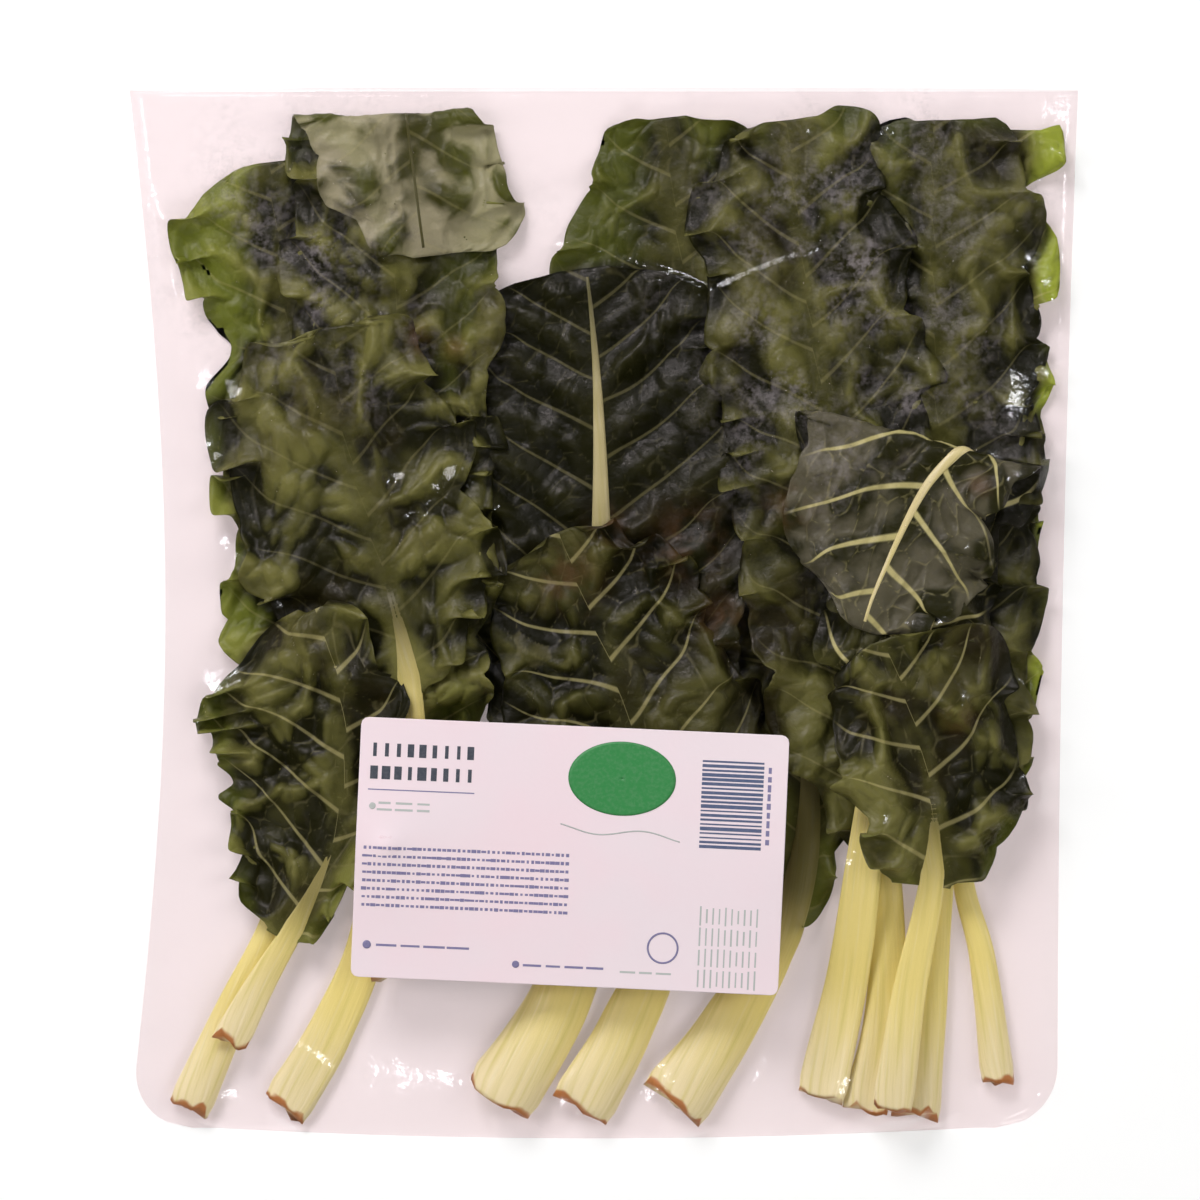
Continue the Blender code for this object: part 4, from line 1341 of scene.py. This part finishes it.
class CHARD_OT_stage(bpy.types.Operator):
    """Make the floor, the lights and a camera that looks straight down"""

    bl_idname = "chard.stage"
    bl_label = "Stage"

    def execute(self, context):
        scene = context.scene
        settings = scene.chard_stage
        scene.view_settings.view_transform = "Standard"
        self.floor(settings)
        self.sky(scene, settings)
        for name, place, size, power, tint in (
            ("light_beyond", (-0.55, 1.15, 0.95), (0.9, 0.5), settings.key, (1.0, 0.99, 1.0)),
            ("light_left", (-1.25, 0.1, 0.95), (0.7, 1.4), settings.side, (1.0, 0.98, 1.0)),
            ("light_right", (1.25, 0.1, 0.95), (0.7, 1.4), settings.side, (1.0, 1.0, 0.98)),
            ("light_near", (0.2, -1.2, 0.95), (1.4, 0.6), settings.near, (1.0, 1.0, 0.97)),
        ):
            area_lamp(name, place, size, power, tint).visible_glossy = name == "light_beyond"
        # small lamps that only gloss shows, for the glints on the film's creases
        for name, place in (
            ("glint_beyond", (-0.35, 1.1, 1.15)),
            ("glint_beyond_right", (0.33, 1.1, 1.15)),
            ("glint_left", (-1.05, 0.35, 1.1)),
            ("glint_right", (1.0, 0.5, 1.15)),
            ("glint_near", (-0.3, -1.1, 1.1)),
        ):
            area_lamp(name, place, (0.1, 0.1), settings.glint, (0.93, 0.95, 1.0)).visible_diffuse = False
        camera = bpy.data.cameras.new("camera")
        camera.sensor_width = 36
        camera.lens = 36 * (settings.camera_height - 6 * MM) / settings.view_width
        camera.clip_start, camera.clip_end = 0.05, 20
        obj = bpy.data.objects.new("camera", camera)
        obj.location = (-1.35 * MM, 5.05 * MM, settings.camera_height)
        scene.collection.objects.link(obj)
        scene.camera = obj
        return {"FINISHED"}

    def floor(self, settings):
        """A wide floor, just under the bag, that gives off a little light of its own."""
        t = Look("pale_floor")
        speck = t.ramp(t.noise(t.coordinates(), 6, 2), 0, 1, 0, 0.02)
        diffuse = t.node("ShaderNodeBsdfDiffuse", {"Color": t.mix(speck, settings.floor, (0.78, 0.78, 0.78))})
        glow = t.node("ShaderNodeEmission", {"Strength": settings.glow})
        both = t.node("ShaderNodeAddShader", {0: diffuse[0], 1: glow[0]})
        corners = np.array([(x, y, -0.5 * MM) for x, y in ((-3, -3), (3, -3), (3, 3), (-3, 3))])
        make_mesh("floor", corners, [np.array([[0, 1, 2, 3]])], [t.finish(both[0])])

    def sky(self, scene, settings):
        """Even light from all round, and none from straight above."""
        scene.world = bpy.data.worlds.new("studio")
        scene.world.use_nodes = True
        t = Nodes(scene.world.node_tree)
        up = t.node("ShaderNodeSeparateXYZ", {0: t.node("ShaderNodeTexCoord")["Generated"]})[2]
        dim = t.node("ShaderNodeMapRange", dict(enumerate((up, 0.84, 0.42, 0.0, settings.sky))))[0]
        glow = t.node("ShaderNodeBackground", {"Color": SKY_GREY, "Strength": dim})[0]
        t.node("ShaderNodeOutputWorld", {"Surface": glow})


class CHARD_OT_back_sheet(bpy.types.Operator):
    """Lay the bag's back sheet on the floor"""

    bl_idname = "chard.back_sheet"
    bl_label = "Back Sheet"

    def execute(self, context):
        x, y, edge = bag_grid(*BACK_GRID)
        wrinkle = crease_relief(x, y, chance_creases(5, 46, 0.7))
        ripple = 0.35 * MM * (1 + layered_noise(x / (22 * MM), y / (40 * MM), 61)) / 2
        z = 0.06 * MM + seam_curl(edge) + wrinkle + ripple
        film_object("back_sheet", x, y, z, 0 * x, "bag_back_sheet")
        return {"FINISHED"}


class CHARD_OT_leaves(bpy.types.Operator):
    """Lay the twelve chard leaves on each other, the lowest first"""

    bl_idname = "chard.leaves"
    bl_label = "Leaves"

    def execute(self, context):
        settings = context.scene.chard_leaf
        shapes = []
        PILE.top[:] = BED_HEIGHT
        for leaf in LEAVES:
            shape = LeafShape(leaf, settings)
            shape.settle(PILE)
            shapes.append(shape)
        materials = [blade_material(settings), stem_material(settings)]
        for shape in shapes:
            leaf_object(shape, PILE, materials)
        return {"FINISHED"}


class CHARD_OT_front_sheet(bpy.types.Operator):
    """Draw the bag's front sheet over the leaves"""

    bl_idname = "chard.front_sheet"
    bl_label = "Front Sheet"

    def execute(self, context):
        settings = context.scene.chard_bag
        x, y, edge = bag_grid(*FRONT_GRID)
        sparse = (slice(None, None, CAD_STRIDE),) * 2
        cad = fill_holes(frame_heights("bag_front_sheet", x[sparse], y[sparse]))
        cad = between_points(cad, *(at / CAD_STRIDE for at in np.indices(x.shape)))
        fixed = np.zeros(x.shape, bool)
        fixed[0] = fixed[:, 0] = fixed[:, -1] = True
        seam = seam_curl(edge) + BED_HEIGHT
        floor = np.where(fixed, seam, np.maximum(PILE.height(x, y) + settings.clearance, seam))
        mouth = ease((y - 120 * MM) / (50 * MM))
        floor = np.maximum(floor, np.where(fixed, 0, (cad - 1.5 * MM) * mouth))
        z = drape(np.where(fixed, seam, np.maximum(cad, floor)), floor, fixed, DRAPE_STEPS)
        calm = ease(edge / (10 * MM)) * ease((y + BAG_LENGTH / 2) / (10 * MM))
        creases = [*FRONT_CREASES, *chance_creases(3, 60, 0.5)]
        z = z + calm * crease_relief(x, y, creases)
        z = z + calm * 0.25 * MM * (1 + layered_noise(x / (9 * MM), y / (14 * MM), 62)) / 2
        z = np.minimum(z, CAD_BOX[1].z + 4 * MM)
        FRONT["z"] = z + settings.thickness
        film_object("front_sheet", x, y, z, mist_amount(x, y), "bag_front_sheet")
        return {"FINISHED"}


class CHARD_OT_condensation(bpy.types.Operator):
    """Scatter water beads under the fogged parts of the front sheet"""

    bl_idname = "chard.condensation"
    bl_label = "Condensation"

    def execute(self, context):
        settings = context.scene.chard_bag
        x, y, _ = bag_grid(*BEAD_GRID)
        z = front_height(x, y) - settings.thickness - 0.18 * MM
        points = np.stack([x, y, z], -1).reshape(-1, 3)
        fog = {"mist": mist_amount(x, y).ravel()}
        base = make_mesh("bead_carrier", points, [grid_quads(*x.shape)], attributes=fog)
        mesh = base.data
        bpy.data.objects.remove(base)
        values = {
            "Density": settings.beads,
            "Smallest": settings.bead_size * 0.25,
            "Largest": settings.bead_size,
            "Seed": 4,
            "Material": bead_material(),
        }
        obj = grown("condensation", mesh, beads_group(), values)
        obj.data.polygons.foreach_set("use_smooth", np.ones(len(obj.data.polygons), bool))
        obj.visible_shadow = False
        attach(obj, BODY)
        return {"FINISHED"}


class CHARD_OT_label(bpy.types.Operator):
    """Stick the paper label on the front sheet"""

    bl_idname = "chard.label"
    bl_label = "Label"

    def execute(self, context):
        settings = context.scene.chard_label
        edge = 1 - np.cos(np.radians([0, 30, 60, 90]))
        across, up = (
            np.concatenate(
                [
                    edge * LABEL_CORNER,
                    np.linspace(LABEL_CORNER, size - LABEL_CORNER, count)[1:-1],
                    size - edge[::-1] * LABEL_CORNER,
                ]
            )
            - size / 2
            for size, count in ((LABEL_WIDTH, 70), (LABEL_HEIGHT, 44))
        )
        fine_v, fine_u = np.meshgrid(
            np.linspace(-LABEL_HEIGHT / 2, LABEL_HEIGHT / 2, 60),
            np.linspace(-LABEL_WIDTH / 2, LABEL_WIDTH / 2, 96),
            indexing="ij",
        )
        x, y = from_label(fine_u, fine_v)
        film = front_height(x, y) + 0.1 * MM
        LABEL["z"] = drape(film.copy(), film, np.zeros(film.shape, bool), LABEL_DRAPE_STEPS)
        LABEL["z"] = np.maximum(blur(LABEL["z"], 6), film)
        v, u = np.meshgrid(up, across, indexing="ij")
        into = np.maximum(LABEL_CORNER - (LABEL_HEIGHT / 2 - np.abs(v)), 0)
        round_off = LABEL_CORNER - np.sqrt(LABEL_CORNER**2 - np.minimum(into, LABEL_CORNER) ** 2)
        u = u * (1 - round_off / (LABEL_WIDTH / 2))
        x, y = from_label(u, v)
        low = np.stack([x, y, label_height(u, v)], -1).reshape(-1, 3)
        points = np.concatenate([low + [0, 0, settings.paper_thickness], low])
        LABEL["z"] = LABEL["z"] + settings.paper_thickness
        rim = 2 * sum(u.shape) - 4
        obj = make_mesh("paper_label", points, [sheet_faces(*u.shape)], [paper_material(settings)], flat=rim)
        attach(obj, BODY)
        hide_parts("label")
        return {"FINISHED"}


class CHARD_OT_printing(bpy.types.Operator):
    """Print plain bars, rules, an oval and a ring on the label"""

    bl_idname = "chard.printing"
    bl_label = "Printing"

    def execute(self, context):
        settings = context.scene.chard_label
        inks = {
            key: ink_material("ink_" + key, tuple(getattr(settings, key)))
            for key in ("oval", "heading", "small_print", "barcode", "faint_print")
        }
        tree = bars_group()
        flat = bpy.data.meshes.new("empty_base")
        # name, ink, columns, rows, pitches, lengths and thicknesses in mm, place of the block's middle, seed
        blocks = (
            ("heading_bars", "heading", 9, 2, 4.0, 7.6, 0.9, 3.2, 4.3, 4.5, (-50.5, 29.0), 3),
            ("heading_rule", "small_print", 1, 1, 0, 0, 35.5, 35.6, 0.35, 0.4, (-50.5, 19.5), 1),
            ("heading_note", "faint_print", 3, 2, 6.5, 2.2, 4.0, 6.0, 0.6, 0.8, (-56, 14.0), 8),
            ("barcode", "barcode", 1, 20, 0, 1.5, 20.5, 20.6, 0.45, 1.25, (53.3, 19.5), 5),
            ("barcode_note", "small_print", 1, 9, 0, 3.0, 1.0, 1.4, 1.6, 2.4, (65.6, 19.5), 6),
            ("text_block", "small_print", 42, 8, 1.65, 2.75, 0.7, 1.75, 0.7, 1.15, (-34.5, -9.5), 7),
            ("right_text", "faint_print", 10, 4, 2.1, 7.0, 0.45, 0.6, 4.4, 6.6, (54.0, -28.5), 9),
            ("foot_left", "small_print", 4, 1, 8.0, 0, 5.6, 7.6, 0.7, 0.8, (-48.0, -32.5), 10),
            ("foot_middle", "small_print", 4, 1, 7.0, 0, 4.6, 6.6, 0.7, 0.8, (-0.5, -37.2), 11),
            ("foot_right", "faint_print", 3, 1, 6.0, 0, 4.0, 5.6, 0.6, 0.7, (27.0, -38.0), 12),
        )
        made = []
        lengths = ("Column Pitch", "Row Pitch", "Shortest", "Longest", "Thinnest", "Thickest")
        for name, ink, columns, rows, *sizes, place, seed in blocks:
            values = {"Columns": columns, "Rows": rows, "Ink": INK, "Seed": seed, "Material": inks[ink]}
            values.update({key: size * MM for key, size in zip(lengths, sizes)})
            obj = grown("print_" + name, flat.copy(), tree, values)
            lay_on_label(obj, place)
            made.append(obj)
        turn = np.linspace(0, 2 * math.pi, 72, endpoint=False)
        circle = np.stack([np.cos(turn), np.sin(turn)], 1)
        made.append(patch(circle * (18, 12.4), 16, "print_oval", inks["oval"], (16.4, 26.6)))
        made.append(patch(circle * 5.3, 4, "print_ring", inks["small_print"], (32.4, -29.4), hole=0.88))
        made.append(patch(circle * 1.1, 4, "print_dot_upper", inks["faint_print"], (-66.5, 14.0)))
        made.append(patch(circle * 1.4, 4, "print_dot_left", inks["small_print"], (-66.5, -32.5)))
        made.append(patch(circle * 1.2, 4, "print_dot_middle", inks["small_print"], (-16.5, -37.0)))
        run = np.linspace(-1, 1, 60)
        wave = np.stack([run * 20, 1.3 * np.sin(run * 4) - 1.2 * run], 1)
        made.append(stroke(wave, 0.44, "print_wave", inks["faint_print"], (16.5, 8.5)))
        for obj in made:
            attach(obj, BODY)
        return {"FINISHED"}


class CHARD_PT_panel(bpy.types.Panel):
    """Lists the operators and their settings"""

    bl_idname = "CHARD_PT_panel"
    bl_label = "Bagged Chard"
    bl_space_type = "VIEW_3D"
    bl_region_type = "UI"
    bl_category = "Chard"

    def draw(self, context):
        layout = self.layout
        for operator in OPERATORS:
            layout.operator(operator.bl_idname)
        for key in ("chard_leaf", "chard_bag", "chard_label", "chard_stage"):
            box = layout.box()
            group = getattr(context.scene, key)
            for name in group.__annotations__:
                box.prop(group, name)


OPERATORS = (
    CHARD_OT_stage,
    CHARD_OT_back_sheet,
    CHARD_OT_leaves,
    CHARD_OT_front_sheet,
    CHARD_OT_condensation,
    CHARD_OT_label,
    CHARD_OT_printing,
)
GROUPS = {
    "chard_leaf": ChardLeafSettings,
    "chard_bag": ChardBagSettings,
    "chard_label": ChardLabelSettings,
    "chard_stage": ChardStageSettings,
}


def register():
    for cls in (*GROUPS.values(), *OPERATORS, CHARD_PT_panel):
        bpy.utils.register_class(cls)
    for key, group in GROUPS.items():
        setattr(bpy.types.Scene, key, PointerProperty(type=group))
    bpy.types.Scene.chard_film = PointerProperty(type=bpy.types.Material)


def unregister():
    for key in (*GROUPS, "chard_film"):
        delattr(bpy.types.Scene, key)
    for cls in reversed((*GROUPS.values(), *OPERATORS, CHARD_PT_panel)):
        bpy.utils.unregister_class(cls)


def main():
    register()
    for operator in OPERATORS:
        group, name = operator.bl_idname.split(".")
        getattr(getattr(bpy.ops, group), name)()


if __name__ == "__main__":
    main()
